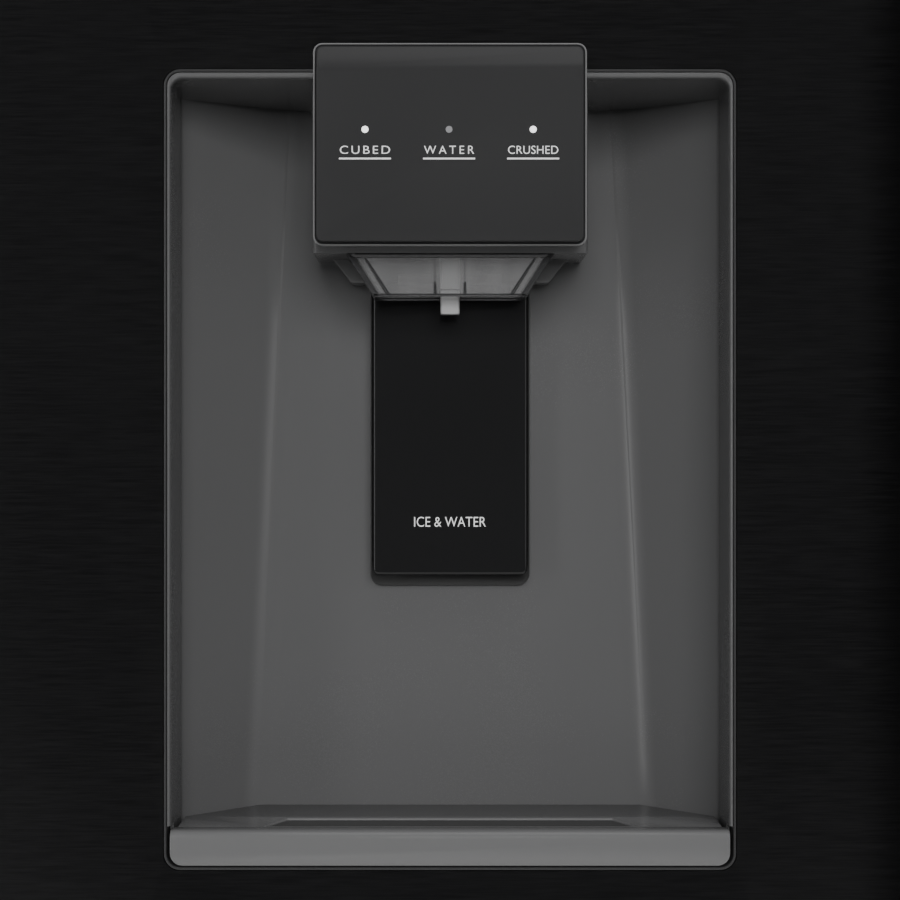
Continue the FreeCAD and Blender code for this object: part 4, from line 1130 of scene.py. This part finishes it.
def freezer_parts():
    """Basket with moulded ribs and a rolled rim, and the clear upper tray."""
    basket = hollow("deep_basket", (-350, 350), (-285, 195), (150, 420), 3, 16)
    parts = [basket]
    for y in (-286, 193):
        for k in range(13):
            parts.append(soften(bar("rib", (-320 + k * 52, -314 + k * 52), (y, y + 3), (170, 404)), 1.3, 3))
    rim = hollow("rim", (-350.6, 350.6), (-285.6, 195.6), (411, 420.4), 5, 17)
    hole = bar("open_floor", (-347, 347), (-282, 192), (400, 430))
    bevel(hole, 13, 5, along(2))
    cut(rim, hole)
    parts.append(rim)
    for side in (-1, 1):
        member = bar("inner_rail", pair(side, 350, 371.5), (-285, 190), (304, 326))
        groove = bar("groove", pair(side, 362, 380), (-300, 200), (309, 321))
        cut(member, groove)
        soften(member, 0.8)
        parts.append(member)
    finished(joined("deep_basket", parts), "freezer_drawer", "white", "freezer_basket", angle=40)
    tray = hollow("top_tray", (-348, 348), (-284, 30), (421, 520), 3, 14)
    edge = bar("tray_edge", (-330, 330), (-286.5, -282.5), (505, 520.4))
    soften(edge, 1.8, 4)
    finished(joined("top_tray", [tray, edge]), "upper_tray", "bin", "freezer_tray", angle=40)


# ---------------------------------------------------------------- base and machine compartment

def copper_run(name, points, radius):
    """A copper pipe on a smooth route, made a mesh."""
    bpy.ops.object.select_all(action="DESELECT")
    bpy.ops.curve.primitive_nurbs_path_add(location=(0, 0, 0))
    pipe = bpy.context.object
    line = pipe.data.splines[0]
    line.points.add(max(0, len(points) - len(line.points)))
    for point, spot in zip(line.points, points):
        point.co = (*place(*spot), 1.0)
    line.order_u = 3
    line.use_endpoint_u = True
    pipe.data.bevel_depth = radius * MM
    pipe.data.bevel_resolution = 5
    pipe.data.use_fill_caps = True
    bpy.ops.object.convert(target="MESH")
    return named(name)


def machine_parts():
    """Copper pipes between the compressor and the coil."""
    pipes = [
        copper_run("copper_pipes", [(160, 342, 180), (150, 342, 214), (110, 342, 222), (40, 360, 222),
                                    (-60, 385, 214), (-110, 388, 180), (-122, 390, 170)], 3.2),
        copper_run("pipe", [(215, 300, 180), (220, 292, 212), (160, 288, 226), (60, 285, 228),
                            (20, 290, 225), (10, 300, 236), (8, 300, 246)], 4.0),
        copper_run("pipe", [(188, 342, 193), (180, 350, 222), (140, 380, 230), (60, 395, 232), (40, 400, 236)], 2.4),
    ]
    finished(joined("copper_pipes", pipes), "cabinet", "copper", angle=60)


def toe_parts():
    """Screw heads on the toe grille, and the sheets that close the feet and lower backs of the side walls."""
    closers = []
    for side in (-1, 1):
        for y, z in (((-294.8, -293.1), (30.2, 62)), ((-293, 420), (29.2, 29.9)), ((421.1, 422.6), (30.2, 250.4))):
            closers.append(soften(bar("wall_closers", pair(side, 402, 452), y, z), 0.3))
    finished(joined("wall_closers", closers), "cabinet", "case")
    heads = [screw_head(place(x, -295.4, 33), "Y", 4.4) for x in (-390, 0, 390)]
    finished(joined("toe_screws", heads), "cabinet", "zinc")


# ---------------------------------------------------------------- studio

CAMERA_DISTANCE = 984


def area_light(name, place, target, width, height, power):
    light = bpy.data.lights.new(name, "AREA")
    light.shape = "RECTANGLE"
    light.size = width
    light.size_y = height
    light.energy = power
    lamp = bpy.data.objects.new(name, light)
    bpy.context.scene.collection.objects.link(lamp)
    lamp.location = place
    lamp.rotation_euler = (Vector(target) - Vector(place)).to_track_quat("-Z", "Y").to_euler()
    return lamp


def build_studio():
    """Pale floor, soft light and the close view of the dispenser."""
    bpy.ops.object.select_all(action="DESELECT")
    bpy.ops.mesh.primitive_plane_add(size=14, location=(0, 0, -0.0005))
    floor = named("studio_floor")
    floor.data.materials.append(FINISH["floor"])

    world = bpy.data.worlds.new("soft room")
    bpy.context.scene.world = world
    world.use_nodes = True
    world.node_tree.nodes["Background"].inputs["Color"].default_value = (0.92, 0.94, 1.0, 1.0)
    world.node_tree.nodes["Background"].inputs["Strength"].default_value = 0.08

    middle = (DISP_X, 0, 1.1)
    area_light("left strip", (-2.5, -2.7, 1.6), middle, 0.5, 2.5, 14)
    area_light("right soft", (2.7, -2.9, 1.9), middle, 1.0, 2.4, 8)
    area_light("top soft", (0.2, -1.4, 3.7), (0, 0, 0.4), 3.0, 1.8, 16)
    area_light("rear fill", (1.5, 3.4, 2.4), (0, 0.3, 0.8), 2.4, 1.8, 90)
    front = area_light("front wash", (DISP_X + 0.2, -3.3, 1.98), (DISP_X, 0, 1.15), 1.4, 1.2, 88)
    front.visible_glossy = False

    camera = bpy.data.cameras.new("camera")
    camera.lens = 90.8
    camera.sensor_width = 36.0
    camera.clip_start = 0.05
    camera.clip_end = 60.0
    view = bpy.data.objects.new("camera", camera)
    bpy.context.scene.collection.objects.link(view)
    view.location = at(0, -CAMERA_DISTANCE, 0)
    view.rotation_euler = (math.pi / 2, 0, 0)
    bpy.context.scene.camera = view


CAD_FINISHES = {
    "zinc sheet": ["machine_cover"],
    "foam": ["cabinet_foam"],
    "liner": ["cabinet_liner", "left_door_liner"],
    "dark plastic": ["toe_grille", "condenser_fan", "evaporator_fan", "cord_gland", "duct_flap"],
    "zinc": ["base_frame", "top_hinges", "center_hinges", "leveling_leg_left", "leveling_leg_right", "ice_auger",
             "freezer_rails_middle", "freezer_rails_outer"],
    "enamel": ["compressor"],
    "fins": ["condenser", "evaporator"],
    "brass": ["water_inlet"],
    "tread": ["rear_rollers"],
}

for finish_name, node_names in CAD_FINISHES.items():
    carry(finish_name, *node_names)

BUILDERS = (recess_shell, recess_trim, control_panel, chute_block, ice_funnel, water_spout, push_pad, pad_pocket,
            drip_shelf, legends,
            case_shell, rear_sheet, hinge_caps, door_shells, inner_panels, seals, handles, flip_bar,
            shelves, shelf_ladders, crisper_lid, crispers, air_ducts, lamps, filter_parts,
            door_bins, ice_parts, freezer_parts, machine_parts, toe_parts, build_studio)

for builder in BUILDERS:
    builder()
